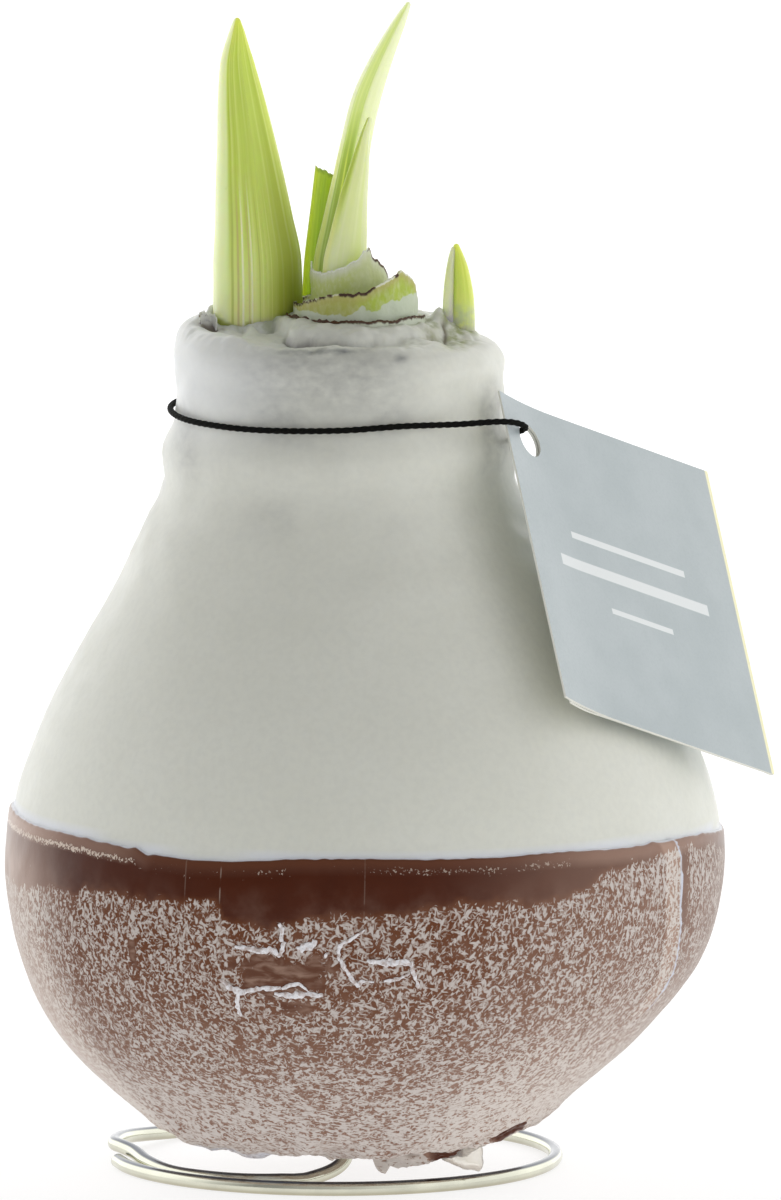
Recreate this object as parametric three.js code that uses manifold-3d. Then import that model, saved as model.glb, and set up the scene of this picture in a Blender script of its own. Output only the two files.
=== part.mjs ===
// An amaryllis bulb coated in wax, coming into bud, on a wire stand, with a folded card tag on an
// elastic cord. Millimetres, +Z up. The pieces are set out round the bulb's axis, with the floor
// at Z = 0 and the front at -Y. The group then moves as a whole, so that its origin is the middle
// of the foot of its bounding box.

import * as THREE from "three";
import { mergeVertices } from "three/addons/utils/BufferGeometryUtils.js";
import Module from "manifold-3d";

const wasm = await Module();
wasm.setup();

// ---------------------------------------------------------------- driving dimensions

const GAP = 0.3; // between pieces that touch
const GROWTH_GAP = 0.35; // round each leaf and bud, where it comes out of the bulb and the wax

// The outside of the white wax, from foot to crown: height, radius, and how far the middle of the
// section lies to the right of the axis.
const BODY_SECTIONS = [
  [4.7, 0, 1.7],
  [4.9, 12, 1.7],
  [6.4, 21.6, 1.5],
  [11.8, 29.2, 0.9],
  [18.5, 36.3, 1.5],
  [26.9, 41.8, 2.8],
  [37, 44.4, 3.3],
  [47.1, 43.9, 3.5],
  [57.2, 40.3, 3.3],
  [67.3, 34.2, 2.4],
  [77.4, 27.5, 1.4],
  [87.4, 21.8, 0.3],
  [92, 21.8, 0.3],
  [95.5, 20.6, 0.4],
  [100, 20.5, 0.4],
  [103.5, 20.7, 0.3],
  [105.8, 19.6, 0.3],
  [107.4, 17.6, 0.3],
  [108.2, 12, 0.3],
  [108.2, 0, 0.3],
];
const BODY_ROW_STEP = 6; // between the rows of its surface, about
const BODY_SIDES = 32;
const BODY_DEPTH = 0.97; // front to back, against side to side
const CROWN_TILT = 0.035; // the crown falls by this much of its width, from left to right
const CROWN_FOOT = 97; // the tilt grows from this height
const CROWN_RIM = 106; // to its full amount here
const LUMP_HEIGHT = 0.35; // five shallow lobes round the bulb
const LUMP_LOBES = 5;
const LUMP_FULL_RADIUS = 30; // the lobes fade out toward the axis inside this radius

// How far each surface lies inside the outside of the white wax.
const COAT_WALL = 1.6;
const DIP_OUTSIDE = -0.5;
const DIP_INSIDE = 0.4;
const COAT_UNDER_DIP = DIP_INSIDE + GAP;
const BULB_SURFACE = COAT_WALL + GAP;

// The brown wax's upper edge: its mean height, and at this radius from the axis how far it rises
// toward the right and toward the back.
const DIP_EDGE = { height: 45.3, radius: 44, toRight: -0.73, toBack: -0.45 };
// The waves of that edge: how many go round, their height, their phase.
const DIP_WAVES = [
  [3, 0.53, -1.82],
  [6, 0.24, -1.78],
  [9, 0.18, -1.98],
];
const DIP_EDGE_STEPS = 72; // straight pieces in it, all round
// Drops of wax that hang from the foot: x, y, height of the middle, radius, length below it.
const DRIPS = [
  [5.9, -14.3, 4.7, 1.2, 2.6],
  [-0.6, -11.5, 4.6, 0.9, 1.2],
];
// A torn roll of wax round the foot's right front: x, y and z of its middle.
const FOOT_ROLL = [
  [6.6, -14.4, 4.4],
  [10, -14.8, 4.7],
  [13.2, -14.5, 5.3],
  [16, -14, 6],
  [18.8, -13, 7],
  [22.4, -11, 8.3],
  [24.4, -8.4, 10.2],
];
const FOOT_ROLL_RADIUS = 1.3;

// The stump of the cut scales, and the two scales that stand out of it. A rim is torn in fine
// waves, and has peaks: degrees round the scale, half width in degrees, height.
const STUMP = { x: 2.6, y: -0.5, radius: 7.6, foot: 103, top: 109.5 };
const OUTER_SCALE = {
  x: 2.6,
  y: -0.5,
  radius: 7.8,
  wall: 1.3,
  foot: 104,
  rim: 111.6,
  torn: 0.25,
  tears: 9,
  peaks: [
    [-42, 24, 3],
    [190, 52, -1.2],
    [25, 29, -1.5],
  ],
};
const INNER_SCALE = {
  x: 2,
  y: 0,
  radius: 5.1,
  wall: 0.8,
  foot: 107,
  rim: 114.3,
  torn: 0.2,
  tears: 7,
  peaks: [[-62, 20, 3]],
};
// The inner, papery scale is missing round the back: there its rim lies inside the stump.
const INNER_SCALE_BACK = { middle: 88, missing: 80, whole: 98, drop: 8 };
const SCALE_SIDES = 28;
const SCALE_TAPER = 0.2; // the part of a scale's wall that it loses toward its rim

const COAT_MOUTH_FOOT = 98; // the opening in the white wax round the stump starts here
// The wax climbs the buds' feet from the crown in lips of this wall.
const LIP = { foot: 100, top: 107.6, wall: 0.9 };

// Leaves and buds, from foot to tip: x, y, z of the middle, width, thickness, and how far the
// middle is raised toward the side that the blade faces. `facing` is turned right from the front.
const FLOWER_BUD = {
  facing: 20,
  stations: [
    [-9.6, 1.5, 100.6, 11.2, 5.4, 0],
    [-9.6, 1.5, 107, 11.5, 5.7, 0],
    [-9.7, 1.5, 115, 11.3, 5.6, 0],
    [-10.1, 1.5, 120, 10, 5.2, 0],
    [-10.6, 1.5, 125.1, 8.8, 4.7, 0],
    [-11.1, 1.5, 130.1, 7.4, 4.1, 0],
    [-11.7, 1.5, 135.2, 6, 3.5, 0],
    [-12.2, 1.5, 140.2, 4.2, 2.7, 0],
    [-12.2, 1.5, 144, 1.8, 1.6, 0],
    [-12.2, 1.5, 145.6, 0.6, 0.6, 0],
  ],
};
const LEAF_LONG = {
  facing: 0,
  stations: [
    [0.6, 2.4, 100.6, 6, 1.3, 0.8],
    [0.6, 2.2, 107, 6.4, 1.3, 0.9],
    [0.6, 1.8, 114, 6.6, 1.2, 1],
    [1.2, 1.5, 120, 5.4, 1.1, 1],
    [1.9, 1.2, 125.5, 4.3, 1, 0.9],
    [2.7, 1, 130.3, 3.8, 1, 0.8],
    [3.9, 0.8, 135.4, 3.6, 0.9, 0.7],
    [5.8, 0.5, 140.4, 2.8, 0.9, 0.6],
    [8.1, 0.2, 145.3, 1.6, 0.8, 0.4],
    [9.3, 0, 147.7, 0.6, 0.6, 0],
  ],
};
const LEAF_FRONT = {
  facing: 8,
  stations: [
    [1.4, -1.4, 100.6, 4.6, 1.1, 0.8],
    [1.4, -1.7, 107, 5, 1.1, 0.9],
    [1.2, -2.1, 114.3, 5.5, 1.1, 0.9],
    [1.7, -2.4, 118.7, 4.7, 1, 0.8],
    [2.3, -2.5, 123.1, 3.6, 1, 0.7],
    [3.1, -2.5, 127.5, 2.4, 0.9, 0.5],
    [3.8, -2.4, 131.3, 1.2, 0.8, 0.2],
    [4.4, -2.2, 133.5, 0.6, 0.6, 0],
  ],
};
const LEAF_CUT = {
  facing: -165,
  stations: [
    [-1.2, 5.4, 100.6, 5.6, 1.2, 0.8],
    [-1.3, 5.5, 107, 5.9, 1.2, 0.9],
    [-1.2, 5.3, 114, 5.6, 1.1, 0.9],
    [-0.8, 5, 120, 5, 1, 0.8],
    [-0.3, 4.7, 126.2, 4.4, 0.9, 0.7],
  ],
};
const SIDE_BUD_SPEAR = {
  facing: 0,
  stations: [
    [15.6, 1, 102.6, 3.4, 2.6, 0],
    [15.9, 1, 107, 3.2, 2.4, 0],
    [15.9, 1, 111, 2.8, 2.1, 0],
    [15.6, 1, 114.5, 1.9, 1.6, 0],
    [15.1, 1, 117.3, 0.6, 0.6, 0],
  ],
};
const SIDE_BUD_SHEATH = {
  facing: 0,
  stations: [
    [14.3, 0.6, 103, 1.6, 1.4, 0],
    [13.8, 0.6, 107.5, 1.2, 1, 0],
    [13.8, 0.6, 112, 1, 0.8, 0],
    [14.3, 0.8, 115.3, 0.8, 0.7, 0],
    [14.8, 1, 116.9, 0.6, 0.6, 0],
  ],
};
const BLADE_SIDES = 12;
const BLADE_ROWS = 12;
const BLADE_SQUARENESS = 0.7; // 1 gives an oval section, less keeps it thick toward its edges

// The wire stand: a ring on the floor, wound inward and up into a spike.
const WIRE = 1.8; // across the flats of its eight sides
const WIRE_SIDES = 8;
const RING = { x: 0, y: 9.5, radius: 27.7 };
const RING_START = 190; // degrees: the wire's free end, at the left
const RING_RISE_START = 490; // where it leaves the floor, at the back
const RING_END = 540; // where it has come round and lies higher than its free end
const RING_RISE = 1.45;
const SPIKE = { x: 1.2, y: -7.8, top: 32, hole: 1.4, foot: 3 };
// From the ring's end to the spike's foot: degrees round the ring, radius, height of the middle.
const WIRE_INNER = [
  [186, 26.8, 2.35],
  [192, 25.8, 2.1],
  [202, 25.4, 1.5],
  [216, 25.3, 1.05],
  [230, 24.9, 1],
  [242, 24.2, 1],
  [252, 22.6, 1],
  [261, 20.2, 1],
];
const WIRE_STEPS = 124;

// The elastic cord: a closed loop round the neck, drawn out through the tag's hole at the right.
const CORD = 0.85;
const CORD_SIDES = 8;
const CORD_STEPS = 60;
// Degrees round the neck, counted from the right over the back, and the cord's height there.
const CORD_ROUND = [
  [-6, 93.2],
  [8, 94.2],
  [22, 95.2],
  [45, 95.8],
  [70, 96.3],
  [95, 96.5],
  [120, 96.7],
  [150, 96.8],
  [180, 96.7],
  [210, 96.4],
  [240, 96.2],
  [270, 96.4],
  [292, 96.8],
];
// From the front of the neck over the tag's edge, through its hole and behind it.
const CORD_TO_TAG = [
  [15.4, -16.3, 96.7],
  [21, -14.2, 96.9],
  [23.4, -12.4, 96.2],
  [24.4, -9.9, 95],
  [23.7, -8.7, 93.5],
  [23.2, -6.2, 92.6],
];
// The knot, and the two tails that hang from it. Each tail's bend and end: degrees to the knot's
// side, distance below it, and distance of its middle from the wax.
const KNOT = { angle: 97, height: 96.5, radius: 1.3 };
const KNOT_TAIL = [
  [4.8, 2, 1.6],
  [8, 4, 1.3],
];
const CORD_ON_WAX = 1.3 * GAP; // the cord's smooth curve stands this far off the faceted wax

// The tag: a square card folded in two, its fold at the right. Its corner is the upper left one.
const TAG = {
  side: 43,
  card: 0.45,
  foldGap: 0.2,
  openGap: 0.4,
  corner: [19.65, -9.95, 99.7],
  turn: 58.4, // degrees that it faces right of the front
  lean: 28.5, // degrees that it leans back
  roll: 21.1, // degrees that its upper edge falls to the right
  curl: 1.1, // its left margin curls outward by this
  curlWidth: 12,
  hole: 4.5,
  holeIn: 5.3, // from its left edge and its upper edge
};

// Plain colours of the materials.
const WHITE_WAX = { color: 0xd3d5d0, roughness: 0.5, metalness: 0 };
const BROWN_WAX = { color: 0x56301c, roughness: 0.45, metalness: 0 };
const BULB_SCALE = { color: 0xa9b45f, roughness: 0.7, metalness: 0 };
const BUD_GREEN = { color: 0x9fb04e, roughness: 0.55, metalness: 0 };
const LEAF_GREEN = { color: 0x8db43c, roughness: 0.5, metalness: 0 };
const PALE_GREEN = { color: 0xb9d58a, roughness: 0.5, metalness: 0 };
const DARK_GREEN = { color: 0x5c8f1a, roughness: 0.5, metalness: 0 };
const GALVANISED = { color: 0x9a9da0, roughness: 0.3, metalness: 0.9 };
const BLACK_ELASTIC = { color: 0x14140f, roughness: 0.85, metalness: 0 };
const GREY_CARD = { color: 0xbcc5c8, roughness: 0.6, metalness: 0 };

// ---------------------------------------------------------------- solids and meshes

const rad = THREE.MathUtils.degToRad;

// Moves every vertex of a geometry by `move(point, index)`.
function warp(geometry, move) {
  const positions = geometry.getAttribute("position");
  const point = new THREE.Vector3();
  for (let index = 0; index < positions.count; index += 1) {
    point.fromBufferAttribute(positions, index);
    move(point, index);
    positions.setXYZ(index, point.x, point.y, point.z);
  }
  return geometry;
}

// A closed geometry as a solid, its shared vertices merged and its faces turned outward.
function solid(geometry) {
  geometry.deleteAttribute("normal");
  geometry.deleteAttribute("uv");
  const merged = mergeVertices(geometry);
  const positions = merged.getAttribute("position").array;
  const corners = merged.index.array;
  const corner = (k) => new THREE.Vector3().fromArray(positions, 3 * corners[k]);
  const triangles = [];
  let volume = 0;
  for (let k = 0; k < corners.length; k += 3) {
    const [a, b, c] = corners.slice(k, k + 3);
    if (a === b || b === c || c === a) continue;
    triangles.push([a, b, c]);
    volume += corner(k).dot(corner(k + 1).cross(corner(k + 2)));
  }
  const outward = volume > 0 ? triangles : triangles.map(([a, b, c]) => [a, c, b]);
  const mesh = new wasm.Mesh({
    numProp: 3,
    vertProperties: new Float32Array(positions),
    triVerts: new Uint32Array(outward.flat()),
  });
  return new wasm.Manifold(mesh);
}

// A solid as a named mesh of its own material.
function piece(name, shape, finish) {
  const { vertProperties, triVerts } = shape.getMesh();
  const geometry = new THREE.BufferGeometry();
  geometry.setAttribute("position", new THREE.BufferAttribute(vertProperties, 3));
  geometry.setIndex(new THREE.BufferAttribute(triVerts, 1));
  geometry.computeVertexNormals();
  const mesh = new THREE.Mesh(geometry, new THREE.MeshStandardMaterial(finish));
  mesh.name = name;
  return mesh;
}

// An upright round bar from one height to another.
function post(x, y, radius, from, to, sides = 16) {
  const geometry = new THREE.CylinderGeometry(radius, radius, to - from, sides);
  geometry.rotateX(Math.PI / 2);
  geometry.translate(x, y, (from + to) / 2);
  return solid(geometry);
}

// A bar of `sides` flat sides along a curve, with its edges at `radius`.
function barGeometry(extrudePath, radius, sides, steps) {
  const section = new THREE.Shape(
    Array.from({ length: sides }, (_, k) => {
      const angle = ((k + 0.5) * 2 * Math.PI) / sides;
      return new THREE.Vector2(radius * Math.cos(angle), radius * Math.sin(angle));
    }),
  );
  return new THREE.ExtrudeGeometry(section, { steps, extrudePath });
}

// The same along a smooth curve through the points.
function bar(points, radius, sides, steps) {
  return solid(barGeometry(new THREE.CatmullRomCurve3(points), radius, sides, steps));
}

// ---------------------------------------------------------------- the bulb's form

const bodyOutline = new THREE.CatmullRomCurve3(
  BODY_SECTIONS.map(([height, radius, lean]) => new THREE.Vector3(radius, lean, height)),
  false,
  "centripetal",
);

// Where the rows of the surface lie along the outline: at every section and evenly between them.
function bodySteps() {
  const spans = BODY_SECTIONS.length - 1;
  const steps = [0];
  for (let span = 0; span < spans; span += 1) {
    const length = bodyOutline.points[span].distanceTo(bodyOutline.points[span + 1]);
    const rows = Math.max(1, Math.round(length / BODY_ROW_STEP));
    for (let row = 1; row <= rows; row += 1) steps.push((span + row / rows) / spans);
  }
  return steps;
}

// How far the lobes swell the section at this angle, where its radius is `radius`.
function lump(angle, radius) {
  const fade = Math.min(1, radius / LUMP_FULL_RADIUS);
  return LUMP_HEIGHT * Math.sin(LUMP_LOBES * angle + 1) * fade;
}

// The bulb's form, taken in from the outside of the white wax by `inset`.
function body(inset) {
  const rows = bodySteps().map((step) => {
    const { x: radius, y: lean, z: height } = bodyOutline.getPoint(step);
    const along = bodyOutline.getTangent(step);
    const length = Math.hypot(along.x, along.z);
    const atAxis = step === 0 || step === 1;
    return {
      outer: radius,
      radius: atAxis ? 0 : radius - (inset * along.z) / length,
      height: height + (inset * along.x) / length,
      lean,
    };
  });
  const profile = rows.map(({ radius, height }) => new THREE.Vector2(radius, height));
  const geometry = new THREE.LatheGeometry(profile, BODY_SIDES);
  geometry.rotateX(Math.PI / 2);
  warp(geometry, (point, index) => {
    const { outer, radius, lean } = rows[index % rows.length];
    const stretch = radius > 0 ? 1 + lump(Math.atan2(point.y, point.x), outer) / radius : 1;
    point.x = point.x * stretch + lean;
    point.y *= stretch * BODY_DEPTH;
    point.z -= CROWN_TILT * point.x * THREE.MathUtils.smoothstep(point.z, CROWN_FOOT, CROWN_RIM);
  });
  return solid(geometry);
}

// The point `out` beyond the white wax at this angle and height, in degrees and below the crown.
function overWax(degrees, height, out) {
  let low = 0;
  let high = 1;
  for (let halving = 0; halving < 20; halving += 1) {
    const middle = (low + high) / 2;
    if (bodyOutline.getPoint(middle).z < height) low = middle;
    else high = middle;
  }
  const { x: radius, y: lean } = bodyOutline.getPoint(low);
  const reach = radius + lump(rad(degrees), radius) + out;
  const x = lean + reach * Math.cos(rad(degrees));
  return new THREE.Vector3(x, BODY_DEPTH * reach * Math.sin(rad(degrees)), height);
}

// Everything below the brown wax's wavy upper edge, raised by `lift`.
function belowDipEdge(lift) {
  const wellOutside = 1.6 * DIP_EDGE.radius;
  const geometry = new THREE.CylinderGeometry(wellOutside, wellOutside, 1, DIP_EDGE_STEPS);
  geometry.rotateX(Math.PI / 2);
  warp(geometry, (point) => {
    if (point.z < 0) {
      point.z = -GAP;
      return;
    }
    const angle = Math.atan2(point.y, point.x);
    const slope = point.x * DIP_EDGE.toRight + point.y * DIP_EDGE.toBack;
    const reach = Math.hypot(point.x, point.y);
    const waves = DIP_WAVES.map(([count, height, phase]) => height * Math.sin(count * angle + phase));
    const wave = waves.reduce((sum, one) => sum + one);
    const rise = (slope + reach * wave) / DIP_EDGE.radius;
    point.z = DIP_EDGE.height + lift + rise;
  });
  return solid(geometry);
}

// ---------------------------------------------------------------- leaves and buds

// A leaf or a bud: an oval section carried along its stations, `pad` larger all round.
function blade({ facing, stations }, pad = 0) {
  const middles = new THREE.CatmullRomCurve3(stations.map(([x, y, z]) => new THREE.Vector3(x, y, z)));
  const sizes = new THREE.CatmullRomCurve3(
    stations.map(([, , , width, thickness, raised]) => new THREE.Vector3(width, thickness, raised)),
  );
  const front = new THREE.Vector3(Math.sin(rad(facing)), -Math.cos(rad(facing)), 0);
  const geometry = new THREE.CylinderGeometry(1, 1, 1, BLADE_SIDES, BLADE_ROWS);
  warp(geometry, (point) => {
    const step = point.y + 0.5;
    const size = sizes.getPoint(step);
    const along = middles.getTangent(step);
    const side = new THREE.Vector3().crossVectors(front, along).normalize();
    const out = new THREE.Vector3().crossVectors(along, side);
    const across = point.x;
    const deep = Math.sign(point.z) * Math.abs(point.z) ** BLADE_SQUARENESS;
    const raised = size.z * (1 - across * across);
    const end = step === 0 ? -pad : step === 1 ? pad : 0;
    point
      .copy(middles.getPoint(step))
      .addScaledVector(side, across * (size.x / 2 + pad))
      .addScaledVector(out, deep * (size.y / 2 + pad) + raised)
      .addScaledVector(along, end);
  });
  return solid(geometry);
}

const GROWTH = [FLOWER_BUD, LEAF_LONG, LEAF_FRONT, LEAF_CUT, SIDE_BUD_SPEAR, SIDE_BUD_SHEATH];

// A shape with room cut in it for every leaf and bud.
function clearOfGrowth(shape) {
  return GROWTH.reduce((rest, growth) => rest.subtract(blade(growth, GROWTH_GAP)), shape);
}

// ---------------------------------------------------------------- the pieces

const spikeHole = post(SPIKE.x, SPIKE.y, SPIKE.hole, 0, SPIKE.top + GAP);

// The largest body of a shape, without the scraps that a cut leaves.
function largest(shape) {
  const bodies = shape.decompose();
  return bodies.reduce((best, next) => (next.volume() > best.volume() ? next : best));
}

// How many degrees lie between two directions round the bulb.
function apart(degrees, others) {
  return THREE.MathUtils.radToDeg(Math.acos(Math.cos(rad(degrees - others))));
}

// A standing ring of bulb scale, its rim lowered by `drop(degrees)`.
function scale({ x, y, radius, wall, foot, rim, torn, tears, peaks }, drop = () => 0) {
  const inner = radius - wall;
  const profile = [
    new THREE.Vector2(inner, 0),
    new THREE.Vector2(radius, 0),
    new THREE.Vector2(radius - SCALE_TAPER * wall, 1),
    new THREE.Vector2(inner, 1),
    new THREE.Vector2(inner, 0),
  ];
  const geometry = new THREE.LatheGeometry(profile, SCALE_SIDES);
  geometry.rotateX(Math.PI / 2);
  warp(geometry, (point) => {
    const angle = Math.atan2(point.y, point.x);
    const degrees = THREE.MathUtils.radToDeg(angle);
    let height = rim + torn * Math.sin(tears * angle) - drop(degrees);
    for (const [middle, width, top] of peaks) {
      height += top * Math.exp(-((apart(degrees, middle) / width) ** 2));
    }
    point.set(point.x + x, point.y + y, foot + point.z * (height - foot));
  });
  return solid(geometry);
}

function innerScaleDrop(degrees) {
  const { middle, missing, whole, drop } = INNER_SCALE_BACK;
  return drop * (1 - THREE.MathUtils.smoothstep(apart(degrees, middle), missing, whole));
}

function bulb() {
  const stump = post(STUMP.x, STUMP.y, STUMP.radius, STUMP.foot, STUMP.top, SCALE_SIDES);
  const tissue = body(BULB_SURFACE)
    .add(stump)
    .add(scale(OUTER_SCALE))
    .add(scale(INNER_SCALE, innerScaleDrop));
  return largest(clearOfGrowth(tissue).subtract(spikeHole));
}

function waxCoat() {
  const lipRoom = post(0, 0, DIP_EDGE.radius, LIP.foot, LIP.top);
  const lips = [FLOWER_BUD, SIDE_BUD_SPEAR].map((bud) => blade(bud, GAP + LIP.wall).intersect(lipRoom));
  const aboveDip = body(0).subtract(belowDipEdge(GAP));
  const outside = aboveDip.add(body(COAT_UNDER_DIP)).add(lips[0]).add(lips[1]);
  const mouthRadius = OUTER_SCALE.radius + GAP;
  const mouth = post(STUMP.x, STUMP.y, mouthRadius, COAT_MOUTH_FOOT, OUTER_SCALE.rim, SCALE_SIDES);
  const shell = outside.subtract(body(COAT_WALL)).subtract(mouth).subtract(spikeHole);
  return largest(clearOfGrowth(shell));
}

function waxDip() {
  let outside = body(DIP_OUTSIDE).intersect(belowDipEdge(0));
  for (const [x, y, middle, radius, length] of DRIPS) {
    const drop = new THREE.SphereGeometry(radius, 10, 8);
    drop.rotateX(Math.PI / 2);
    drop.scale(1, 1, length / radius);
    drop.translate(x, y, middle);
    outside = outside.add(solid(drop));
  }
  const roll = bar(FOOT_ROLL.map((point) => new THREE.Vector3(...point)), FOOT_ROLL_RADIUS, 8, 12);
  outside = outside.add(roll);
  return largest(outside.subtract(body(DIP_INSIDE)).subtract(spikeHole));
}

// The wire's centre line; it never comes nearer the floor than half the wire.
class WireRoute extends THREE.Curve {
  constructor() {
    super();
    this.arcLengthDivisions = 600;
    const points = [];
    const add = (angle, radius, height) => {
      const x = RING.x + radius * Math.cos(rad(angle));
      points.push(new THREE.Vector3(x, RING.y + radius * Math.sin(rad(angle)), height));
    };
    for (let angle = RING_START; angle <= RING_END; angle += 10) {
      const rise = THREE.MathUtils.smoothstep(angle, RING_RISE_START, RING_END);
      add(angle, RING.radius, WIRE / 2 + rise * RING_RISE);
    }
    for (const [angle, radius, height] of WIRE_INNER) add(angle, radius, height);
    for (let height = SPIKE.foot; height < SPIKE.top; height += (SPIKE.top - SPIKE.foot) / 4) {
      points.push(new THREE.Vector3(SPIKE.x, SPIKE.y, height));
    }
    points.push(new THREE.Vector3(SPIKE.x, SPIKE.y, SPIKE.top));
    this.route = new THREE.CatmullRomCurve3(points);
  }

  getPoint(t, target = new THREE.Vector3()) {
    this.route.getPoint(t, target);
    target.z = Math.max(target.z, WIRE / 2);
    return target;
  }
}

function wireStand() {
  const corner = WIRE / 2 / Math.cos(Math.PI / WIRE_SIDES);
  const wire = barGeometry(new WireRoute(), corner, WIRE_SIDES, WIRE_STEPS);
  warp(wire, (point) => {
    point.z = Math.max(point.z, 0);
  });
  return solid(wire);
}

function cord() {
  const outward = CORD_ON_WAX + CORD / 2;
  const points = CORD_ROUND.map(([degrees, height]) => overWax(degrees, height, outward));
  points.push(...CORD_TO_TAG.map((point) => new THREE.Vector3(...point)));
  const route = new THREE.CatmullRomCurve3(points, true);
  const loop = solid(new THREE.TubeGeometry(route, CORD_STEPS, CORD / 2, CORD_SIDES, true));
  const knotMiddle = overWax(KNOT.angle, KNOT.height, GAP + KNOT.radius);
  const knot = new THREE.SphereGeometry(KNOT.radius, 8, 6);
  knot.translate(knotMiddle.x, knotMiddle.y, knotMiddle.z);
  const tails = [-1, 1].map((turn) => {
    const hanging = KNOT_TAIL.map(([degrees, below, out]) =>
      overWax(KNOT.angle + turn * degrees, KNOT.height - below, out),
    );
    return bar([knotMiddle, ...hanging], CORD / 2, CORD_SIDES, 3);
  });
  return loop.add(solid(knot)).add(tails[0]).add(tails[1]);
}

// The card's section across the fold: x from the left edge to the fold, y outward.
function tagSection() {
  const { side, card, foldGap, openGap, curl, curlWidth } = TAG;
  const curled = (x) => (x < curlWidth ? curl * (1 - x / curlWidth) ** 2 : 0);
  const gap = (x) => openGap + (foldGap - openGap) * (x / side);
  const across = [0, 4, 8, curlWidth];
  const innerFold = side - card;
  const outline = [];
  for (const x of across) outline.push([x, curled(x)]);
  outline.push([innerFold, 0], [side, -card], [side, -card - foldGap], [innerFold, -2 * card - foldGap]);
  for (const x of across.toReversed()) outline.push([x, curled(x) - 2 * card - gap(x)]);
  for (const x of across) outline.push([x, curled(x) - card - gap(x)]);
  outline.push([innerFold, -card - foldGap], [innerFold, -card]);
  for (const x of across.toReversed()) outline.push([x, curled(x) - card]);
  return new THREE.Shape(outline.map(([x, y]) => new THREE.Vector2(x, y)));
}

function tag() {
  const card = new THREE.ExtrudeGeometry(tagSection(), { depth: TAG.side, bevelEnabled: false });
  const punch = new THREE.CylinderGeometry(TAG.hole / 2, TAG.hole / 2, 8, 16);
  punch.translate(TAG.holeIn, 0, TAG.holeIn);
  const shape = solid(card).subtract(solid(punch));
  const mesh = piece("tag", shape, GREY_CARD);
  // The section's y becomes the way the tag faces, and its depth runs down the tag.
  mesh.geometry.rotateX(Math.PI);
  mesh.position.set(...TAG.corner);
  mesh.rotation.set(rad(-TAG.lean), rad(TAG.roll), rad(TAG.turn), "ZXY");
  return mesh;
}

// ---------------------------------------------------------------- the whole

const amaryllis = new THREE.Group();
amaryllis.name = "amaryllis_bulb";
amaryllis.add(
  piece("bulb", bulb(), BULB_SCALE),
  piece("wax_coat", waxCoat(), WHITE_WAX),
  piece("wax_dip", waxDip(), BROWN_WAX),
  piece("flower_bud", blade(FLOWER_BUD), BUD_GREEN),
  piece("leaf_long", blade(LEAF_LONG), LEAF_GREEN),
  piece("leaf_front", blade(LEAF_FRONT), PALE_GREEN),
  piece("leaf_cut", blade(LEAF_CUT), DARK_GREEN),
  piece("side_bud", blade(SIDE_BUD_SPEAR).add(blade(SIDE_BUD_SHEATH)), LEAF_GREEN),
  piece("wire_stand", wireStand(), GALVANISED),
  piece("cord", cord(), BLACK_ELASTIC),
  tag(),
);

const bounds = new THREE.Box3().setFromObject(amaryllis, true);
const foot = bounds.getCenter(new THREE.Vector3());
amaryllis.position.set(-foot.x, -foot.y, -bounds.min.z);
amaryllis.updateMatrixWorld(true);

export default amaryllis;
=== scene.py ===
"""An amaryllis bulb in bud, dipped in white and brown wax, on a wire ring stand, with a card tag on an
elastic cord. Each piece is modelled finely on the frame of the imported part, in its millimetres."""

import math

import bpy
import numpy as np
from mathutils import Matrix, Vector


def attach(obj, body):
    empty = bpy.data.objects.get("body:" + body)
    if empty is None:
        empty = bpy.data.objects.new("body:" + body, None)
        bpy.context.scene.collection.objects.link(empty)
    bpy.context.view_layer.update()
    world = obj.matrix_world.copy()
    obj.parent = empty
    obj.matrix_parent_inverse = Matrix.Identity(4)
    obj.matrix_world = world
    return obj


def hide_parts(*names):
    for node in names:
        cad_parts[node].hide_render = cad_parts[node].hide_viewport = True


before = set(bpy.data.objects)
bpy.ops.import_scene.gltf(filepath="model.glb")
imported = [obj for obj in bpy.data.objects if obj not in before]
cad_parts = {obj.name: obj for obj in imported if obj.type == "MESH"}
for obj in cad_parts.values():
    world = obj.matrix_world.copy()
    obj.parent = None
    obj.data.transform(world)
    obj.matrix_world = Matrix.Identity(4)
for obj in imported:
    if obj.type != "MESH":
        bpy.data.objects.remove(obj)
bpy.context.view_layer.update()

MM = 0.001
SHIFT = np.array([-6.7828, -0.18343, 0.0])  # from the bulb's own axis to the frame's origin
TAU = 2 * math.pi

# ---------------------------------------------------------------- the part's driving dimensions

GAP = 0.3
# The outside of the white wax: height, radius, how far the section's middle lies to the right.
BODY_SECTIONS = [
    (4.7, 0, 1.7), (4.9, 12, 1.7), (6.4, 21.6, 1.5), (11.8, 29.2, 0.9), (18.5, 36.3, 1.5),
    (26.9, 41.8, 2.8), (37, 44.4, 3.3), (47.1, 43.9, 3.5), (57.2, 40.3, 3.3), (67.3, 34.2, 2.4),
    (77.4, 27.5, 1.4), (87.4, 21.8, 0.3), (92, 21.8, 0.3), (95.5, 20.6, 0.4), (100, 20.5, 0.4),
    (103.5, 20.7, 0.3), (105.8, 19.6, 0.3), (107.4, 17.6, 0.3), (108.2, 12, 0.3), (108.2, 0, 0.3),
]
BODY_DEPTH = 0.97
CROWN_HEIGHT = 108.2
CROWN_TILT = 0.035
DIP_OUT = 0.5  # the brown wax stands proud of the white by this
DIP_EDGE = {"height": 45.5, "right": -0.73, "back": -0.45}
DIP_WAVES = [(3, 0.53, -1.82), (6, 0.24, -1.78), (9, 0.18, -1.98)]

STUMP = (2.6, -0.5)
OUTER_RADIUS = 7.8
INNER_MIDDLE = (2.0, 0.0)
INNER_RADIUS = 5.1

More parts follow.
